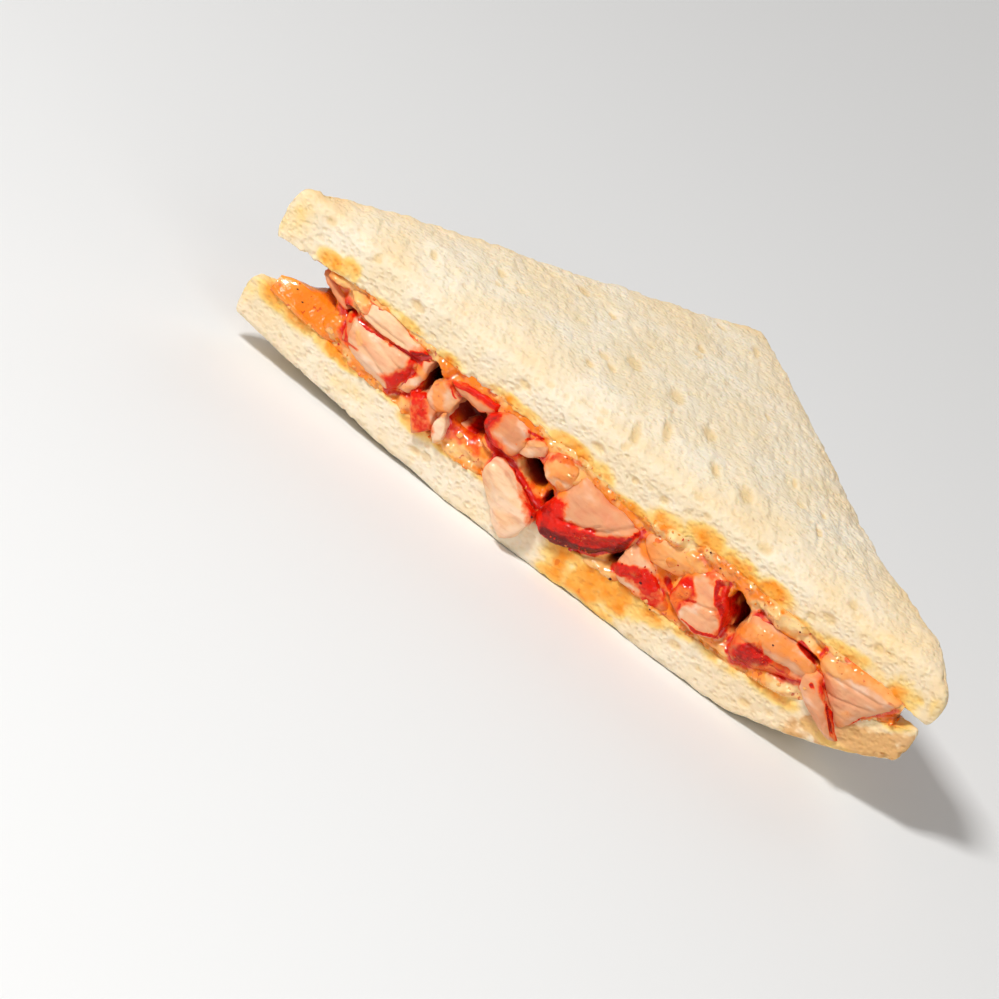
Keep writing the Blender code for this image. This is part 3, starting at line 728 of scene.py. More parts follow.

# %% [markdown]
# Directions alone would give every piece the same neat rim of skin. On the real cut the red runs in
# ragged lines and patches, so the ones that stand out are listed as strokes: red skin, clean meat
# where the knife went, sauce on the meat, and creamier places in the sauce. A place on a piece that
# stands out of the cut is seen lower and further left than it is, so it first slides back along the
# line of sight.

# %% Strokes of skin, clean meat, sauce and cream
# Skin strokes stronger than 1 go on to dark red and maroon, partly painted shade on the undersides of
# pieces.
SKIN_STROKES = (  # from x, z, to x, z, half width, strength
    (-44, 19.4, -40.2, 20.2, 0.39, 1), (-40.2, 20.2, -36.8, 21.5, 0.56, 1.15),
    (-38.4, 19.1, -39, 16, 1.26, 0.85), (-39, 16, -40.3, 11.9, 0.77, 0.8),
    (-41, 16.4, -36.5, 15.9, 0.49, 0.5), (-51.1, 24.1, -45.1, 23.4, 0.21, 0.55),
    (-45.1, 23.4, -40.3, 23.1, 0.21, 0.6), (-53.1, 17.7, -51.1, 14.7, 0.28, 0.6),
    (-51.1, 14.7, -48.5, 14.9, 0.25, 0.55), (-56.6, 19.1, -52.7, 20.1, 0.49, 0.55),
    (-52.7, 20.1, -52.4, 18.7, 0.42, 0.7), (-51.1, 20.1, -44.7, 19.5, 0.18, 0.45),
    (-40.3, 11.9, -36.5, 13.5, 0.32, 0.8), (-35.2, 14, -33.4, 12.5, 1.61, 0.62),
    (-33.9, 12.1, -31.1, 9.8, 1.54, 0.56), (-35.6, 14.2, -33.9, 15.4, 0.56, 0.85),
    (-32, 20.1, -27.7, 21.3, 0.25, 0.8), (-31.2, 19.8, -29.2, 18.4, 0.21, 0.7),
    (-30.1, 20.2, -27, 20.9, 0.28, 0.85), (-27, 20.9, -23.8, 21.6, 0.36, 0.7),
    (-23.8, 21.6, -20.6, 20.4, 0.32, 0.8), (-21, 20.1, -21.6, 17.5, 0.32, 0.9),
    (-21.9, 17.2, -19.4, 14.7, 0.57, 0.95), (-19.4, 14.7, -14.6, 14.3, 0.53, 1.05),
    (-14.6, 14.3, -10.6, 12.4, 0.61, 1.1), (-10.6, 12.4, -6.7, 10.3, 0.57, 1.1),
    (-6.7, 10.3, -4.1, 10.8, 0.36, 1.1), (-14.7, 21.1, -11.9, 21.7, 0.28, 0.95),
    (-15.3, 17.7, -13.8, 20.4, 0.2, 0.7), (-4.6, 11.2, -3.3, 7.1, 1.01, 1),
    (-3.3, 7.1, 2.1, 7.3, 1.01, 1.5), (2.1, 7.3, 6.7, 9.7, 0.76, 1.5), (6.7, 9.7, 10.2, 13.2, 0.67, 1.4),
    (10.2, 13.2, 11.6, 17.2, 0.51, 1.2), (-3.8, 12.1, -2.2, 9, 2.1, 0.85),
    (-1.6, 8.9, 4.3, 10.1, 1.94, 0.9), (4.3, 10.1, 9.9, 13.8, 1.09, 0.9),
    (11.6, 17.2, 12.2, 18.3, 0.38, 1.1), (11.5, 9.6, 14.6, 10.5, 1.01, 0.85),
    (14.6, 10.5, 18.1, 11.1, 1.52, 0.8), (18.4, 10.5, 21.3, 8.5, 1.09, 0.5),
    (20.6, 8.6, 22.8, 7.7, 0.59, 0.6), (15.6, 10.6, 18.2, 9.1, 0.84, 0.6),
    (20.4, 13.1, 22, 11.9, 0.59, 0.9), (22, 11.9, 24.6, 12.1, 0.76, 0.85),
    (24.6, 12.1, 26.4, 12.7, 0.42, 0.6), (28.2, 18.4, 30, 19.5, 0.59, 1.05),
    (28.3, 17.8, 28.8, 15.8, 0.42, 1), (29.3, 15.6, 31.9, 14.1, 0.76, 0.95),
    (32, 14.2, 33.5, 10.5, 0.55, 0.95), (26.1, 8.7, 29.6, 8.3, 0.25, 0.95),
    (29.6, 8.3, 33.4, 9.8, 0.25, 0.9), (37.6, 8.3, 40, 9.3, 1.09, 0.9),
    (-7.8, 20.3, -4.2, 21.6, 0.76, 0.6), (-8.7, 18, -8.6, 19.8, 0.42, 0.6),
    (36, 8.8, 37, 10.5, 0.61, 0.85), (36.9, 9.8, 40.5, 12.2, 1.14, 0.95),
    (38.1, 8.6, 42.7, 11.4, 0.96, 1), (42.6, 11.6, 46.9, 12, 0.57, 0.95),
    (40.2, 14.1, 40.5, 13.1, 0.35, 0.8), (46.4, 17.8, 50.1, 17, 0.66, 1.2),
    (50.4, 18.4, 50.5, 20, 0.44, 0.8), (53.9, 18.8, 54.7, 18.3, 0.48, 0.85),
    (53.5, 13.8, 56, 10.9, 0.24, 1.25), (56, 10.9, 59, 7.8, 0.3, 1.25),
    (51.4, 12.8, 52.5, 11.9, 0.39, 1), (59.9, 8.4, 63.1, 14.2, 0.22, 0.6),
    (63.1, 14.2, 66.2, 18.3, 0.26, 0.65), (54.6, 20.7, 62.3, 21, 0.5, 0.55),
)
CLEAR_STROKES = (  # from x, z, to x, z, half width, strength
    (-49.6, 23.1, -41.2, 23, 1.4, 1), (-46.4, 13.6, -41.8, 17.8, 2.11, 1),
    (-46.3, 12.7, -41.9, 11.5, 1.05, 1), (-38.6, 13.9, -36.6, 16.8, 0.7, 1),
    (-1.1, 17.3, 1.4, 15.1, 2.1, 1), (2.7, 16.6, 9, 17.9, 1.68, 1), (4.7, 13.1, 10.3, 16.7, 0.59, 0.9),
    (12.5, 15.8, 12.8, 12.6, 1.09, 1), (26, 9.8, 31.1, 11.3, 1.09, 1), (25.5, 16.9, 27.8, 14, 1.26, 0.9),
    (37.1, 16, 44.4, 16, 1.32, 0.9), (56.6, 13.8, 63.8, 16.8, 2.19, 1),
    (52.2, 11.7, 54.9, 10.1, 0.79, 0.9), (-15.3, 12.2, -10.5, 6.9, 1.62, 1),
    (-18.7, 19, -15.4, 18.7, 1.01, 0.9),
)
COAT_STROKES = (  # from x, z, to x, z, half width, strength
    (-37.8, 18.8, -35.7, 18.4, 0.7, 0.7), (-37.8, 14, -36.2, 16.1, 0.35, 0.5),
    (-32.7, 18.2, -30, 14.6, 1.05, 0.8), (-7, 18.1, -3.5, 19.5, 1.68, 0.9),
    (15.1, 16, 21.1, 18.8, 1.68, 1), (18, 14.8, 23.6, 18.3, 1.43, 0.9), (22.3, 7.6, 23.5, 13, 1.26, 0.6),
    (36, 14, 44.7, 15.6, 1.75, 0.75), (44.7, 15.6, 50.2, 15, 0.96, 0.8),
    (52, 17.5, 59.5, 20.1, 1.32, 1.1), (59.5, 20.1, 65.6, 19.3, 1.05, 1.1),
    (-5.2, 15.9, -3.8, 15.3, 0.84, 0.8), (-14.2, 18.5, -11.2, 20.7, 0.57, 0.5),
    (-49, 16.4, -50.1, 17.5, 0.56, 0.7),
)
CREAM_STROKES = (  # from x, z, to x, z, half width, strength
    (37, 18.9, 47.2, 19.9, 1.49, 0.8), (46.4, 9.1, 51.9, 10.3, 1.49, 0.9),
    (44.5, 9.5, 46.8, 9.4, 0.61, 0.7), (-24.9, 9.6, -18, 11.4, 1.05, 0.5),
    (17, 21.1, 20.1, 21.4, 1.01, 1.1), (13.3, 19.9, 15.2, 19.5, 0.67, 0.9),
    (20.1, 5.9, 24.3, 6.2, 1.01, 0.6), (-55.1, 14.9, -53.2, 13.4, 0.56, 0.8),
    (2.8, 5.2, 5.2, 5.8, 0.59, 0.7), (-9.7, 19, -6.6, 18.6, 0.81, 0.6),
    (54.6, 20.7, 57.9, 20.8, 0.7, 0.7),
)
REST_TURN, REST_SHIFT = 0.035, np.array([0.65, 0.3])  # how the food lies now against how it was read
SIGHT = np.array([0.156, 0.455])  # what a place slides in x and z for each mm in front of the cut


def on_cut(places):
    """Turns (x, z) places read along the bottom slice by 2 degrees, onto the resting food."""
    x, z = np.moveaxis(np.asarray(places, float), -1, 0)
    return np.stack([x - REST_TURN * z, z + REST_TURN * x], axis=-1) + REST_SHIFT


def from_line(places, start, end):
    """Distance of each (x, z) place from the straight line between two others."""
    along = end - start
    share = np.clip((places - start) @ along / (along @ along), 0, 1)
    return np.linalg.norm(places - start - share[..., None] * along, axis=-1)


def stroked(grid, strokes, salt):
    """The strongest of the strokes at each point near the cut, with ragged edges from noise."""
    seen = grid[..., [0, 2]] + grid[..., 1:2] * SIGHT
    ragged = 0.5 * fractal(grid, 1.4, 3, salt)
    amount = np.zeros(grid.shape[:-1])
    for x0, z0, x1, z1, width, strength in strokes:
        start, end = on_cut([(x0, z0), (x1, z1)])
        far = from_line(seen, start, end) / width + ragged
        amount = np.maximum(amount, strength * smoothstep(1.6 - far, 0.0, 1.0))
    return amount * smoothstep(5.0 - grid[..., 1], 0.0, 2.0)


print("strokes:", len(SKIN_STROKES + CLEAR_STROKES + COAT_STROKES + CREAM_STROKES))

# %% [markdown]
# A block with softened edges has a neat formula. Each flat side is a half space with a normal n
# and a distance d from the middle. In a direction v the side is met at d / (n.v). Taking the
# nearest one gives a sharp block, and a p-norm in place of the minimum rounds its edges:
# r(v) = (sum of (n.v / d)^p over the sides that v faces) ^ (-1/p).


# %% A piece of chicken
def outline_sides(outline):
    """Middle of a convex outline, and each side's outward normal and distance from the middle."""
    middle = outline.mean(axis=0)
    along = np.roll(outline, -1, axis=0) - outline
    normal = np.stack([along[:, 1], -along[:, 0]], axis=-1)
    normal = normal / np.linalg.norm(normal, axis=1, keepdims=True)
    reach = ((outline - middle) * normal).sum(axis=1)
    return middle, normal * np.sign(reach)[:, None], np.abs(reach)


def directions(theta, spokes):
    """Unit vectors round the y axis: a row for each angle theta from it, a column for each spoke."""
    theta = theta[:, None]
    phi = 2 * math.pi * np.arange(spokes) / spokes
    flat = np.sin(theta)
    return np.stack([flat * np.cos(phi), -np.cos(theta) + 0 * phi, flat * np.sin(phi)], axis=-1)


def block(outline, proud, depth, facets=(), sharpness=26.0, rings=64, spokes=112, salt=0):
    """Grid of a block whose front is an outline of (x, z) places, with its poles front and back.

    Most of the edges round its front are cut off at seeded slants, as well as by the facets given.
    """
    middle, flat, reach = outline_sides(np.asarray(outline, float))
    centre = np.array([middle[0], depth / 2 - proud, middle[1]])
    draw = np.random.default_rng(salt)
    lean = draw.uniform(-0.22, 0.05, len(flat))
    normals = [np.array([a, b, c]) / math.sqrt(1 + b * b) for (a, c), b in zip(flat, lean)]
    distances = [(r - b * (depth / 2 - 1.5)) / math.sqrt(1 + b * b) for r, b in zip(reach, lean)]
    tilt = draw.uniform(-0.12, 0.12, 2)
    corners = [(math.degrees(math.atan2(c, a)), r - draw.uniform(0.1, 0.5) * reach.mean(),
                draw.uniform(0.25, 1.1)) for (a, c), r in zip(flat, reach) if draw.random() < 0.8]
    normals += [np.array([tilt[0], -1.0, tilt[1]]), np.array([0.0, 1.0, 0.0])]
    distances += [depth / 2, depth / 2]
    for degrees, start, slope in [*facets, *corners]:
        turn = math.radians(degrees)
        length = math.hypot(1.0, slope)
        normals.append(np.array([slope * math.cos(turn), -1.0, slope * math.sin(turn)]) / length)
        distances.append((depth / 2 + slope * start) / length)
    view = directions(math.pi * np.linspace(0.004, 0.996, rings) ** 1.35, spokes)
    facing = np.clip(view @ np.array(normals).T / np.array(distances), 0, None)
    radius = (facing**sharpness).sum(axis=-1) ** (-1 / sharpness)
    return centre + view * radius[..., None], centre


def meat_values(grid, centre, skins, coat, tone, salt):
    """Point values for the chicken: skin where a point lies far out in one of the skin directions."""
    apart = grid - centre
    ragged = 0.16 * fractal(grid, 2.2, 3, 80 + salt)
    skin = np.zeros(grid.shape[:2])
    for degrees, start in skins:
        turn = math.radians(degrees)
        along = apart[..., 0] * math.cos(turn) + apart[..., 2] * math.sin(turn)
        skin = np.maximum(skin, smoothstep(along / along.max() + ragged, start - 0.4, start + 0.35))
    front = smoothstep(2.5 - grid[..., 1], 0.0, 2.0)
    clear = 1 - np.clip(stroked(grid, CLEAR_STROKES, 60), 0, 1)
    skin = np.maximum(skin * (1 - 0.25 * front), stroked(grid, SKIN_STROKES, 61)) * clear
    patches = smoothstep(fractal(grid, 3.0, 3, 90 + salt), 0.35 - coat, 0.95 - coat) * (1 - 0.5 * front)
    patches = np.maximum(patches, stroked(grid, COAT_STROKES, 62))
    return {"skin": skin, "coat": patches, "tone": tone}


def rough_meat(grid, values, salt, creases=()):
    """The block with its sides bent by noise, lumps, fibres, grains where it has skin, and creases."""
    bend = np.stack([fractal(grid, 3.2, 3, 140 + salt + axis) for axis in range(3)], axis=-1)
    grid = grid + bend * np.array([0.6, 0.3, 0.55]) * (0.8 + 0.7 * values["coat"].mean())
    normal = outward(grid)
    lump = 0.22 * fractal(grid, 4.0, 3, 100 + salt) + 0.14 * fractal(grid, 1.9, 2, 160 + salt)
    fibre = 0.07 * fractal(grid, (3.0, 1.0, 0.7), 2, 110 + salt)
    crag = (0.05 + 0.2 * np.clip(values["skin"], 0, 1)) * fractal(grid, 1.2, 3, 120 + salt)
    height = lump + fibre + crag + 0.3 * values["coat"]
    for start, end, width, deep in creases:
        far = from_line(grid[..., [0, 2]], start, end) + 0.1 * bend[..., 0]
        height = height - deep * np.exp(-((far / width) ** 2)) * (grid[..., 1] < 3)
    return grid + normal * height[..., None]


plain, _ = block([(-5, 0), (5, 0), (0, 8)], 1.0, 10.0)
print("a plain block measures", np.ptp(plain.reshape(-1, 3), axis=0).round(1), "mm")

# %% [markdown]
# Each piece is listed with the outline of its front, how far that stands out of the cut, how deep
# the piece reaches, where its skin is (a direction in degrees and where along it the skin starts),
# how much sauce clings to it, and its tone from grey-pink to pale peach, which is partly the meat's
# own colour and partly painted shade on the darker pieces. Places on the cut were read along the
# bottom slice, as those of the strokes were.

# %% The pieces at the cut
PIECES = {
    "chicken_sliver": (
        [(-61.8, 22.6), (-60.4, 23.1), (-56.2, 21.2), (-53.8, 19.6), (-54.8, 18.8), (-58, 20.2)],
        -1.2, 12, [(-90, 0.55)], 0.1, 0.1, ()),
    "chicken_upper_strip": (
        [(-51.2, 21), (-51, 24.2), (-46, 24.3), (-41, 23), (-36.8, 21.8), (-38, 20.8), (-43.8, 19.9)],
        1, 12, [(-28, 0.62), (95, 0.9)], 0.05, 0.9, ()),
    "chicken_left_slab": (
        [(-51.6, 19.8), (-44.6, 19.7), (-37.7, 20.3), (-38.3, 15), (-41, 11.5), (-46, 12.2),
         (-51.4, 14.6)],
        1.7, 13, [(-14, 0.38)], 0.14, 0.65, ((200, 3.5, 0.35),)),
    "chicken_left_chip": (
        [(-53.6, 19.2), (-50, 19.3), (-48.6, 17.3), (-50, 14.8), (-52.6, 15)],
        0.4, 9, [(180, 0.4), (60, 0.8)], 0.45, 0, ()),
    "chicken_flap": (
        [(-38.2, 20.8), (-35.8, 21.4), (-35.6, 18.6), (-37, 13.4), (-39.3, 12.8)],
        0.4, 11, [(-100, 0.7)], 0.42, 0.5, ()),
    "chicken_red_nugget": (
        [(-36.2, 14.6), (-34, 16.1), (-30.6, 14.4), (-29.6, 11), (-32.4, 8), (-34.8, 11.4)],
        2.2, 11, [], 0, 0, ((60, 1.2, 0.5),)),
    "chicken_pale_shard": (
        [(-28.9, 15.6), (-30.2, 13), (-29.6, 10.4), (-28.4, 9), (-27.1, 10.6), (-27.6, 13.4)],
        2.1, 9, [], -0.3, 1, ()),
    "chicken_coated_knob": (
        [(-33.4, 18.8), (-31, 20.4), (-28.2, 18.6), (-28.6, 15.6), (-31.4, 14.2), (-33.6, 16)],
        1.7, 11, [(90, 0.75)], 0.6, 0.6, ((40, 0.8, 0.5),)),
    "chicken_roof_strip": (
        [(-31.2, 20.6), (-28.6, 21.9), (-21.6, 22.2), (-21.4, 20.2), (-24, 19), (-28.4, 19.2)],
        1.1, 11, [(90, 0.3), (-80, 0.75)], 0.3, 0.1, ()),
    "chicken_cave_lump": (
        [(-27.6, 13.2), (-25.8, 14.4), (-22.2, 14), (-21.6, 11.6), (-26.4, 11)],
        -2.2, 9, [(20, 0.1)], 0.2, 0.2, ()),
    "chicken_grey_chunk": (
        [(-22.2, 20.4), (-19.6, 21.8), (-14.2, 21.6), (-13.4, 18.2), (-14.8, 15.6), (-19.8, 15.4),
         (-22.4, 17.4)],
        1.9, 12, [(180, 0.45), (-100, 0.42), (60, 0.8)], -0.1, 0.05, ((-90, 1.6, 0.5),)),
    "chicken_tan_chip": (
        [(-14.2, 19.6), (-12.2, 22), (-9.8, 21.2), (-9.9, 18.8), (-12, 16.9), (-14, 16.8)],
        1.3, 10, [(110, 0.5)], 0.3, 0.6, ()),
    "chicken_leaning_wedge": (
        [(-17.4, 13.4), (-14.6, 14), (-10.2, 11.9), (-5.9, 10.2), (-5.5, 7.8), (-7.3, 3.4), (-8.8, 1.9),
         (-11, 3), (-17.8, 10.4)],
        3.9, 4.6, [(52, 0.75)], -0.4, 1, ((225, 2.6, 0.28),)),
    "chicken_glazed_knob": (
        [(-9.6, 20.6), (-6.6, 22), (-3, 20.6), (-2.4, 18.2), (-4.4, 15.2), (-7.2, 15.8), (-9.6, 18)],
        1.9, 11, [(200, 0.8), (90, 0.8)], 0.62, 0.6, ((130, 1, 0.4), (-50, 1, 0.5))),
    "chicken_large_chunk": (
        [(-5.6, 12.4), (-3.6, 17), (-2, 20.2), (3.6, 19.6), (9.8, 18.8), (12.2, 17.2), (11.2, 13),
         (6.6, 9), (1.6, 6.9), (-3.2, 6.6), (-5.9, 9)],
        2.9, 14, [(-82, 0.36), (-160, 0.52), (-40, 0.62)], -0.25, 0.2, ((-58, 1.4, 0.42),)),
    "chicken_red_crag": (
        [(10.7, 10), (11.4, 14), (12.3, 17.9), (16.6, 14), (22, 12.2), (24, 8.8), (21, 7.3), (13, 8)],
        2.1, 12, [(-60, 0.45)], 0.35, 0.6, ((-70, 0.6, 0.4),)),
    "chicken_coated_block": (
        [(13.2, 17.2), (15.2, 19.6), (19.6, 20.6), (24.4, 19.8), (25.2, 17.6), (21.6, 15.4),
         (16.2, 14.4)],
        0.9, 12, [], 1.3, 0.6, ((90, 1, 0.5), (0, 2.6, 0.4))),
    "chicken_pale_block": (
        [(21.6, 11.6), (22.4, 16), (26.4, 19.8), (29.8, 20), (31.8, 16.4), (33.4, 12.6), (33.2, 9.8),
         (30.4, 8.4), (26.2, 8.6)],
        2.1, 13, [(28, 0.5), (172, 0.3)], 0.25, 0.5, ((120, 1.4, 0.4),)),
    "chicken_peach_block": (
        [(36.3, 17.4), (35.4, 13), (34.8, 9.4), (37, 8), (43, 9.4), (51.6, 12.6), (51, 16.4), (47, 17.8)],
        2, 13, [(-125, 0.3), (-75, 0.5)], 0.5, 0.3, ((-80, 1, 0.5),)),
    "chicken_tail": (
        [(49.6, 14.6), (52.4, 15.2), (55, 13.2), (57.6, 10.4), (60.4, 7), (57, 7.6), (53, 9.6),
         (50.2, 12)],
        2.9, 3.6, [(48, 0.7)], -0.2, 0.15, ()),
    "chicken_end_chunk": (
        [(50.6, 17), (51.6, 20.8), (57, 20.8), (67.6, 19.4), (65.4, 16), (62.2, 12), (59.8, 8.6),
         (57.8, 9.8), (54, 14)],
        1.8, 12, [(180, 0.85), (85, 0.8)], 0.3, 0.3, ((-60, 1, 0.35),)),
}
CREASES = {  # from (x, z), to (x, z), width, depth
    "chicken_large_chunk": (
        ((-1.5, 11.6), (5, 13.8), 0.4, 0.55), ((5, 13.8), (10.4, 18), 0.35, 0.5),
        ((3.5, 13.2), (5.6, 15.4), 0.3, 0.3), ((1, 9.4), (8.6, 13), 0.5, 0.25)),
    "chicken_upper_strip": (
        ((-50, 21.6), (-42, 21.2), 0.35, 0.3),),
    "chicken_left_slab": (
        ((-50.5, 17.4), (-42.5, 14.4), 0.4, 0.25), ((-47, 19), (-40, 17.2), 0.3, 0.3)),
    "chicken_end_chunk": (
        ((53, 17), (64, 17.8), 0.35, 0.35), ((55, 13.5), (62.5, 15.5), 0.3, 0.25)),
    "chicken_peach_block": (
        ((37, 12.6), (50, 13.4), 0.4, 0.35),),
    "chicken_pale_block": (
        ((24, 12.2), (31, 14.6), 0.4, 0.35),),
}


LARGE = 9.0  # a piece longer than this, in mm, gets more points
CLEAR_OF_SIDE = 2.5  # how far in from the trimmed sides a piece and the sauce end


def chicken(name, salt):
    """One piece at the cut, which replaces the solid of the same name."""
    outline, proud, depth, skins, coat, tone, facets = PIECES[name]
    outline = on_cut(outline)
    rings, spokes = (110, 184) if np.ptp(outline, axis=0).max() > LARGE else (72, 120)
    grid, centre = block(outline, proud, depth, facets, rings=rings, spokes=spokes, salt=salt)
    values = meat_values(grid, centre, skins, coat, tone, salt)
    creases = [(on_cut(a), on_cut(b), width, deep) for a, b, width, deep in CREASES.get(name, ())]
    grid = rough_meat(grid, values, salt, creases)
    grid[..., 1] = np.minimum(grid[..., 1], leg_at(grid[..., 0]) - CLEAR_OF_SIDE)
    near = grid[..., 1] < 1.5
    front_points.append(grid[near])
    front_skin.append(values["skin"][near])
    return piece(name + "_meat", [shell(grid, **values)], CHICKEN, "chicken", name)


for salt, name in enumerate(PIECES):
    chicken(name, salt)

# %% [markdown]
# Between the pieces at the cut the sauce forms one bumpy face with a few hollows in it, painted dark
# as painted shade. That face is a relief. Its depth behind the cut is a level that rises round each
# piece, as a wet sauce creeps up what stands in it, minus a dome for each blob, plus a bowl for each
# hollow.

# %% Sauce between the pieces
BLOBS = (  # x, z, half width, half height, turn in degrees, how far it stands out of the cut
    (-55, 15.4, 3.2, 2.4, 0, 0), (-47, 12.4, 6, 1.8, -12, 0.2), (-52.3, 22.6, 1.3, 2.8, 80, 0.8),
    (-58.5, 23.6, 3.4, 1.4, -5, 0), (-36.6, 11.6, 1.8, 1.6, -30, 0.2), (-33.8, 21.4, 2.4, 1.5, 10, 0.2),
    (-31, 17.6, 2.6, 3.2, 20, 0.2), (-22.6, 11, 5.4, 2.6, 5, -0.2), (-25, 9, 7, 1, 0, 0.2),
    (-20.3, 14.8, 3, 1.1, -25, 0.5), (-11.4, 19.4, 2, 2.4, 60, 0), (-6.4, 18.8, 3.6, 3.4, -30, 0.8),
    (-3.4, 18.6, 1.6, 2.4, -35, 1.4), (-7.6, 21.2, 3.4, 1.6, 0, 0.6), (0.5, 21.2, 2.4, 1.2, -10, 0),
    (6, 19.4, 6, 0.9, -8, 0.2), (17.4, 20.8, 2.4, 1.5, -12, 1.5), (14.6, 20.6, 1.6, 1.3, 20, 1.1),
    (18.6, 17, 3.6, 2.2, 10, 1), (15.6, 18.2, 2.2, 1.8, 40, 0.8), (22.6, 18.6, 3, 2.2, 20, 0.7),
    (27, 21.4, 6, 1.6, 0, 0.2), (34, 19.8, 3.4, 2.2, -20, 0.5), (41, 20.2, 5.4, 2.4, -4, 1.5),
    (47.5, 18, 5, 1.8, -15, 0.1), (46.5, 8.9, 6, 1.9, 8, 1), (50, 11.6, 3, 2.4, 20, 0.2),
    (22.5, 8, 6, 1.3, 0, 0.2), (8.8, 7.2, 4.6, 1.4, 14, 0.2), (56, 20, 6, 1.4, 0, 0.2),
    (53.2, 17.8, 2.6, 2.2, 0, 0.6), (66, 18, 3.4, 1.4, 35, 0.2), (-2, 7, 4, 1, -5, 0),
    (34.5, 8.2, 4.6, 1.2, 0, 0.4),
)
# The last column, darkness, is how much painted shade each hollow gets.
HOLLOWS = (  # x, z, half width, half height, turn in degrees, depth, darkness
    (-34.4, 18, 1.7, 3.1, 20, 10, 1.2), (-25.2, 16.4, 3.7, 2.4, -8, 6, 0.55),
    (-25, 18.4, 2.6, 1.2, -12, 7, 0.9), (-10.8, 15.6, 3.4, 1.9, -38, 10, 1.2),
    (-5.6, 12.4, 0.8, 1.6, 0, 7, 0.9), (33.8, 15.4, 1.9, 3.4, 25, 11, 1.2),
    (47.6, 17.2, 3.4, 0.7, 0, 6, 0.8), (10.6, 11.6, 0.8, 2.6, -25, 7, 0.9),
    (-53.2, 19.4, 1.6, 0.8, -20, 5, 0.7),
)

SAUCE_ENDS, SAUCE_BACK = (-60.5, 67.5), 13.5
SAUCE_BITS = (1.5, (0.3, 0.9), 0.7, 81, 1.0)  # bubbles turned outwards, so they stand proud


def in_gap(margin, reach=math.inf):
    """Lower and upper bound of a layer in the gap between the slices, level from reach inwards."""
    return (lambda x, y: bottom_upper(x, np.minimum(y, reach)) + margin,
            lambda x, y: top_lower(x, np.minimum(y, reach)) - margin)


def ellipse_distance(x, z, place, half_width, half_height, degrees):
    """Distance from an ellipse's middle, with 1 on its outline, in its own turned axes."""
    cx, cz = on_cut(place)
    turn = math.radians(degrees)
    along = (x - cx) * math.cos(turn) + (z - cz) * math.sin(turn)
    across = (z - cz) * math.cos(turn) - (x - cx) * math.sin(turn)
    return np.hypot(along / half_width, across / half_height)


def sauce_relief(x, z):
    """Depth of the sauce's face, how near each point is to a piece, the painted shade of the hollows at
    each point, and how near it is to the bread.
    """
    spot = np.stack([x, 0 * x, z], axis=-1)
    wobble = fractal(spot, 2.2, 3, 71)
    beside_bread = np.minimum(top_lower(x, 0 * x) - z, z - bottom_upper(x, 0 * x))
    lip = np.exp(-((np.clip(beside_bread, 0, None) / 0.9) ** 2))
    level = 2.0 - 1.4 * lip + 0.8 * fractal(spot, 3.4, 3, 72) + 7.0 * smoothstep(-x, 55.5, 60.5)
    close = np.zeros(x.shape)
    depth = level
    for outline, proud, *_ in PIECES.values():
        middle, normal, reach = outline_sides(on_cut(outline))
        apart = np.stack([x, z], axis=-1) - middle
        beside = np.clip((apart @ normal.T - reach).max(axis=-1), 0, None)
        near = np.exp(-((beside / 1.1) ** 2))
        close = np.maximum(close, near)
        creep = np.minimum(level, max(1.3 - proud, 0.1))
        depth = np.minimum(depth, level + (creep - level) * near)
    bowl, dark = np.zeros(x.shape), np.zeros(x.shape)
    for cx, cz, width, height, degrees, out in BLOBS:
        far = ellipse_distance(x, z, (cx, cz), width, height, degrees) + 0.12 * wobble
        depth = np.minimum(depth, depth + (-out - depth) * np.clip(1 - far**2, 0, None) ** 0.6)
    # Each hollow is a bowl in depth and a patch of painted shade, by its darkness.
    for cx, cz, width, height, degrees, deep, shade in HOLLOWS:
        far = ellipse_distance(x, z, (cx, cz), width, height, degrees) + 0.16 * wobble
        inside = smoothstep(1.25 - far, 0.0, 0.5)
        bowl, dark = np.maximum(bowl, deep * inside), np.maximum(dark, shade * inside)
    out = np.broadcast_to([0.0, -1.0, 0.0], spot.shape)
    bits = np.minimum(bubbles(spot, out, *SAUCE_BITS), 0.5)
    grains = (0.3 + 0.4 * lip) * fractal(spot, 1.5, 3, 73) - (0.5 + 0.5 * lip) * bits
    return depth + bowl + grains, close, np.clip(dark, 0, 1), lip


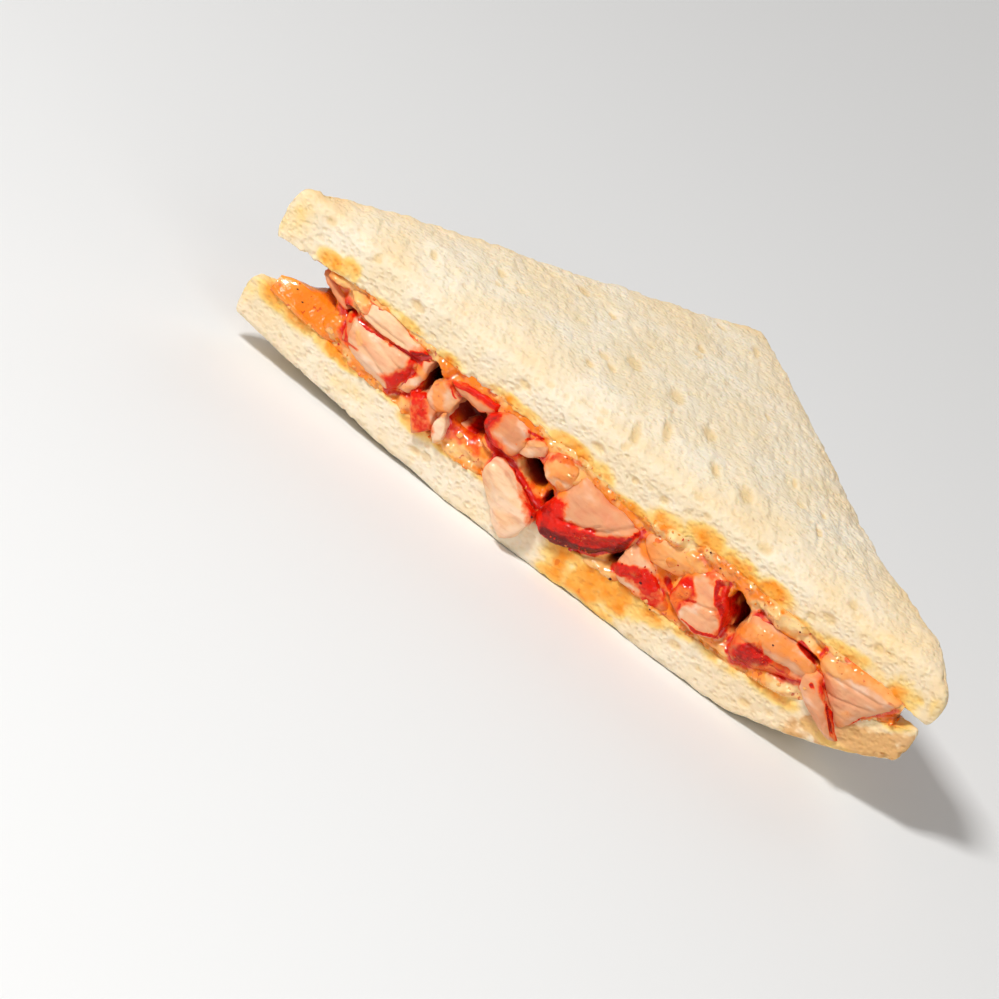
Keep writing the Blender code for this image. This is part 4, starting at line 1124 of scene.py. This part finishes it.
def sauce_face():
    """The sauce between the pieces: a layer whose front is the relief, in front of the core."""
    x = stations(*SAUCE_ENDS, FINE_STEP)
    back = np.minimum(SAUCE_BACK, leg_at(x) - CLEAR_OF_SIDE)
    lower, upper = in_gap(-0.5, 13)
    grid = layer(x, (np.minimum(2.0, back - 1.0), back, 1.0), lower, upper, (0.3, 0.3),
                 profile_template(64, 6, 6, 6, 3))
    # deep is the painted shade of the hollows.
    depth, close, deep, lip = sauce_relief(grid[..., 0], grid[..., 2])
    room = back[:, None] - 0.3
    reach = smoothstep((room - grid[..., 1]) / (room - 2.0 + 1e-3), 0.0, 0.8)
    share = (grid[..., 2] - lower(grid[..., 0], 0)) / (upper(grid[..., 0], 0) - lower(grid[..., 0], 0))
    inner = smoothstep(1 - np.abs(2 * share - 1), 0.1, 0.6)
    grid[..., 1] = grid[..., 1] * (1 - reach) + np.minimum(depth, room - 0.3) * reach
    pale = 0.35 + 0.7 * fractal(grid, 4.0, 2, 75) + 0.9 * lip * fractal(grid, 1.4, 2, 77)
    pale = pale + stroked(grid, CREAM_STROKES, 63)
    red = 0.7 * close * inner + 0.8 * fractal(grid, 2.2, 3, 76) * (0.4 + 0.6 * inner)
    red = np.clip(np.maximum(red, stroked(grid, SKIN_STROKES, 61)), 0, 1)
    red = red * (1 - np.clip(stroked(grid, COAT_STROKES, 62), 0, 0.9))
    near = (reach > 0.99) & (deep < 0.1)
    front_points.append(grid[near])
    front_skin.append(0.6 * close[near] * inner[near])
    return piece("sauce_between_pieces", [shell(grid, pale=pale, red=red, deep=deep)], SAUCE, "mayonnaise")


sauce_face()

# %% [markdown]
# Marinade leaves crumbs of spice and burnt edge on the meat, and the sauce breaks into small shiny
# beads. Both are many tiny lumps, each a ball of a few dozen faces with its points moved at random.
# The crumbs choose places with skin by themselves. The beads and the dark specks are listed.

# %% Crumbs and beads
BEADS = (  # x, z, half width, half height
    (-63.5, 13.6, 0.5, 0.4), (-61.2, 12.6, 0.6, 0.4), (-58.6, 13.4, 0.6, 0.5), (-56.6, 12.4, 0.8, 0.5),
    (-54.6, 14.6, 0.6, 0.6), (-53.2, 12.4, 0.6, 0.4), (-50.6, 12.2, 0.7, 0.4), (-47.6, 11.6, 0.6, 0.4),
    (-44.4, 11, 0.5, 0.4), (-4, 18.8, 0.9, 0.45), (46.7, 9.6, 0.6, 0.5), (50.6, 11.1, 0.5, 0.4),
    (-24.8, 13.3, 1, 0.9),
)
SPECKS = (  # x, z, radius
    (11.3, 6.7, 0.35), (16.5, 9.4, 0.3), (17.2, 4.6, 0.35), (-6, 8.3, 0.3), (-66.4, 12.5, 0.25),
    (-63.9, 18.3, 0.22), (-61.7, 16.7, 0.22), (7.2, 5, 0.2), (13.6, 3.2, 0.2), (20.3, 6.2, 0.22),
    (42.4, 15, 0.25), (27.4, 20.6, 0.25), (24.2, 22.4, 0.25), (45.2, 19.4, 0.22),
)
front_cloud = np.concatenate(front_points)
front_share = np.concatenate(front_skin)
front_seen = front_cloud[:, [0, 2]] + front_cloud[:, 1:2] * SIGHT


def surface_at(places):
    """The foremost of the points seen within 0.5 mm of each place, and whether there is one."""
    found, centres = [], []
    for place in places:
        beside = front_cloud[np.linalg.norm(front_seen - place, axis=1) < 0.5]
        found.append(len(beside) > 0)
        centres.append(beside[beside[:, 1].argmin()] if len(beside) else np.zeros(3))
    return np.array(centres), np.array(found)


def lumps_at(centres, radii, salt, **values):
    """A ball of 6 by 8 points at each centre, each point moved in or out by up to two fifths."""
    draw = np.random.default_rng(salt)
    ball = directions(math.pi * (np.arange(6) + 0.5) / 6, 8)
    shells = []
    for index, (centre, radius) in enumerate(zip(centres, radii)):
        uneven = 1 + draw.uniform(-0.4, 0.4, ball.shape[:2])
        shells.append(shell(centre + ball * radius * uneven[..., None],
                            **{key: value[index] for key, value in values.items()}))
    return shells


def crumbs(count, salt):
    """Crumbs of red marinade, half sunk where the skin is: count of them, up to 0.25 mm in radius."""
    draw = np.random.default_rng(salt)
    weight = front_share**2 * (front_cloud[:, 1] < 1.2)
    chosen = draw.choice(len(front_cloud), count, replace=False, p=weight / weight.sum())
    radii = (0.06 + 0.13 * draw.random((count, 1)) ** 2) * draw.uniform(0.7, 1.4, (count, 3))
    skin = draw.uniform(0.45, 1.0, count)
    return lumps_at(front_cloud[chosen], radii, salt, skin=skin, coat=0 * skin, tone=skin)


def beads():
    """Beads of sauce, flattened against whatever surface lies foremost at their place."""
    table = np.array(BEADS)
    centres, found = surface_at(on_cut(table[:, :2]))
    radii = np.stack([0.8 * table[:, 2], 0.6 * table[:, 3], 0.7 * table[:, 3]], axis=-1)
    nothing = np.zeros(found.sum())
    return lumps_at(centres[found], radii[found], 2, pale=nothing + 0.5, red=nothing, deep=nothing)


def specks():
    """Dark specks of pepper and burnt spice."""
    table = np.array(SPECKS)
    centres, found = surface_at(on_cut(table[:, :2]))
    radii = (table[:, 2:] * np.array([1.0, 0.5, 0.8]))[found]
    full = np.ones(len(radii))
    return lumps_at(centres[found], radii, 3, pale=0 * full, red=full, deep=full)


def sauce_grains(count, salt):
    """Bits of sauce along the two seams with the bread and in the gaps, up to 0.4 mm in radius."""
    draw = np.random.default_rng(salt)
    sauce_cloud, sauce_share = front_points[-1], front_skin[-1]
    x, y, z = sauce_cloud.T
    seam = np.maximum(bump(z, bottom_upper(x, 0 * x) + 0.4, 1.0), bump(z, top_lower(x, 0 * x) - 0.2, 1.2))
    weight = (seam * (1 + (z > 17)) + 0.3 * sauce_share) * (y < 1.6) * (x > -60)
    chosen = draw.choice(len(sauce_cloud), count, replace=False, p=weight / weight.sum())
    radii = (0.08 + 0.2 * draw.random((count, 1)) ** 3) * draw.uniform(0.6, 1.4, (count, 3))
    red = np.clip(draw.normal(0.1, 0.3, count), 0, 1)
    return lumps_at(sauce_cloud[chosen], radii, salt, pale=0.6 * draw.random(count), red=red, deep=0 * red)


piece("marinade_crumbs", crumbs(420, 5), CHICKEN, "chicken")
piece("sauce_grains", sauce_grains(420, 6), SAUCE, "mayonnaise")
rounding = piece("sauce_beads", beads() + specks(), SAUCE, "mayonnaise").modifiers.new("round", "SUBSURF")
rounding.levels = rounding.render_levels = 2

# %% [markdown]
# Behind the pieces at the cut, the filling runs back to the two trimmed sides, where it shows
# between the slices, a few millimetres in. It is a core of sauce with smaller blocks sunk in it along
# each side, all of it standing for one solid.


# %% Filling along the trimmed sides
CORE_END, BLOCKS_A_SIDE = 51.0, 32


def along_leg(grid, side):
    """Moves a block made at the cut to a trimmed side: x along it, y inwards from it."""
    a, b, z = np.moveaxis(grid, -1, 0)
    root = math.sqrt(0.5)
    return np.stack([side * (HALF_CUT - (a + b) * root), (a - b) * root, z], axis=-1)


def leg_blocks():
    """Seeded blocks along both trimmed sides, spread evenly along them and at random heights."""
    draw = np.random.default_rng(12)
    shells = []
    for side in (-1, 1):
        steps = np.arange(BLOCKS_A_SIDE) + draw.uniform(-0.6, 0.6, BLOCKS_A_SIDE)
        for a in 23.0 + 75.0 * steps / (BLOCKS_A_SIDE - 1):
            width = draw.uniform(3.5, 11.0)
            spot = along_leg(np.array([[a, 4.0, 0.0]]), side)[0]
            low = float(bottom_upper(spot[0], spot[1])) + 0.6
            high = float(top_lower(spot[0], spot[1])) - 0.6
            height = (high - low) * draw.uniform(0.3, 0.85)
            middle = low + height / 2 + (high - low - height) * draw.random()
            turns = np.linspace(0, 2 * math.pi, 6, endpoint=False) + draw.uniform(-0.4, 0.4, 6)
            outline = np.stack([a + 0.5 * width * np.cos(turns), middle + 0.5 * height * np.sin(turns)], -1)
            salt = int(draw.integers(1000))
            grid, centre = block(outline, -draw.uniform(2.8, 5.4), 9.0, (), 22.0, 28, 50, salt)
            skins = [(draw.uniform(0, 360), draw.uniform(0.2, 0.7))]
            values = meat_values(grid, centre, skins, draw.uniform(0.0, 0.7), draw.random(), salt % 7)
            shells.append(shell(along_leg(rough_meat(grid, values, salt % 7), side), **values))
    return shells


def core():
    """The sauce behind all the blocks: a lumpy layer from 13 mm behind the cut to near the sides."""
    x = stations(-CORE_END, CORE_END, COARSE_STEP)
    back = leg_at(x) - 9.4
    front = np.minimum(13.0 + 0 * x, back - 0.6)
    grid = layer(x, (front, back, 1.0), *in_gap(0.2), (1.0, 1.0), profile_template(16, 30, 18, 30, 3))
    grid = grid + outward(grid) * (1.1 * fractal(grid, 3.4, 3, 131))[..., None]
    red = np.clip(0.1 + fractal(grid, 3.0, 3, 132), 0, 1) * 0.6
    pale = 0.4 + 0.6 * fractal(grid, 5.0, 2, 133)
    return piece("filling_sauce", [shell(grid, pale=pale, red=red, deep=0.0)], SAUCE, "chopped_filling")


core()
piece("filling_blocks", leg_blocks(), CHICKEN, "chopped_filling", "chopped_chicken")

# %% [markdown]
# ## Floor, light and camera
#
# The floor is pale and plain. One soft light stands above and to the left, as a window would, with
# weaker ones opposite and a bright room all round, so that the wet sauce carries small highlights
# and the bread stays light. The camera stands 24 degrees above the floor and looks nearly square
# at the cut, turned on its side by a third of a right angle, and far enough away for almost no
# perspective.


# %% Floor
def stage():
    """A large pale sheet under the food."""
    recipe = Recipe("floor", Roughness=0.8)
    shade = recipe.mix(recipe.grain(400.0), colour(238, 238, 238), colour(244, 244, 243))
    recipe.feed(Base_Color=shade)
    mesh = bpy.data.meshes.new("floor")
    size = 6.0
    corners = [(-size, -size, 0), (size, -size, 0), (size, size, 0), (-size, size, 0)]
    mesh.from_pydata(corners, [], [(0, 1, 2, 3)])
    mesh.materials.append(recipe.material)
    floor = bpy.data.objects.new("floor", mesh)
    bpy.context.scene.collection.objects.link(floor)
    print("floor:", 2 * size, "m across")


stage()


# %% Lights
def soft_light(name, place, target, size, power):
    """A square area light at a place in metres, turned to face a target."""
    light = bpy.data.lights.new(name, "AREA")
    light.size = size
    light.energy = power
    obj = bpy.data.objects.new(name, light)
    obj.location = place
    obj.rotation_euler = (Vector(target) - Vector(place)).to_track_quat("-Z", "Y").to_euler()
    bpy.context.scene.collection.objects.link(obj)
    print(f"{name} light: {power} W, {size} m across")


MIDDLE = (0.0, 0.0, 0.02)
soft_light("window", (-0.42, -0.52, 0.76), MIDDLE, 0.17, 7.6)
soft_light("bounce", (0.55, -0.7, 0.45), MIDDLE, 0.5, 1.6)
soft_light("back", (0.1, 0.8, 0.6), MIDDLE, 0.6, 1.2)
world = bpy.data.worlds.new("studio")
world.use_nodes = True
world.node_tree.nodes["Background"].inputs["Color"].default_value = colour(255, 252, 248)
world.node_tree.nodes["Background"].inputs["Strength"].default_value = 0.22
bpy.context.scene.world = world
bpy.context.scene.view_settings.view_transform = "Standard"

# %% Camera
AZIMUTH = math.radians(8.84)
ELEVATION = math.radians(24.21)
ROLL = math.radians(33.56)
FOCUS = (np.array([-3.37, -58.36, 33.58]) + CUT_ORIGIN) * MM
DISTANCE = 1.0
LENS, CLIP_END = 216.2, 20.0
back = Vector((math.sin(AZIMUTH) * math.cos(ELEVATION), -math.cos(AZIMUTH) * math.cos(ELEVATION),
               math.sin(ELEVATION)))
camera = bpy.data.objects.new("camera", bpy.data.cameras.new("camera"))
camera.data.lens = LENS
camera.data.clip_end = CLIP_END
turned = (-back).to_track_quat("-Z", "Y").to_matrix().to_4x4() @ Matrix.Rotation(ROLL, 4, "Z")
camera.matrix_world = Matrix.Translation(Vector(FOCUS) + back * DISTANCE) @ turned
bpy.context.scene.collection.objects.link(camera)
bpy.context.scene.camera = camera
print("camera at", [round(c, 3) for c in camera.matrix_world.translation])
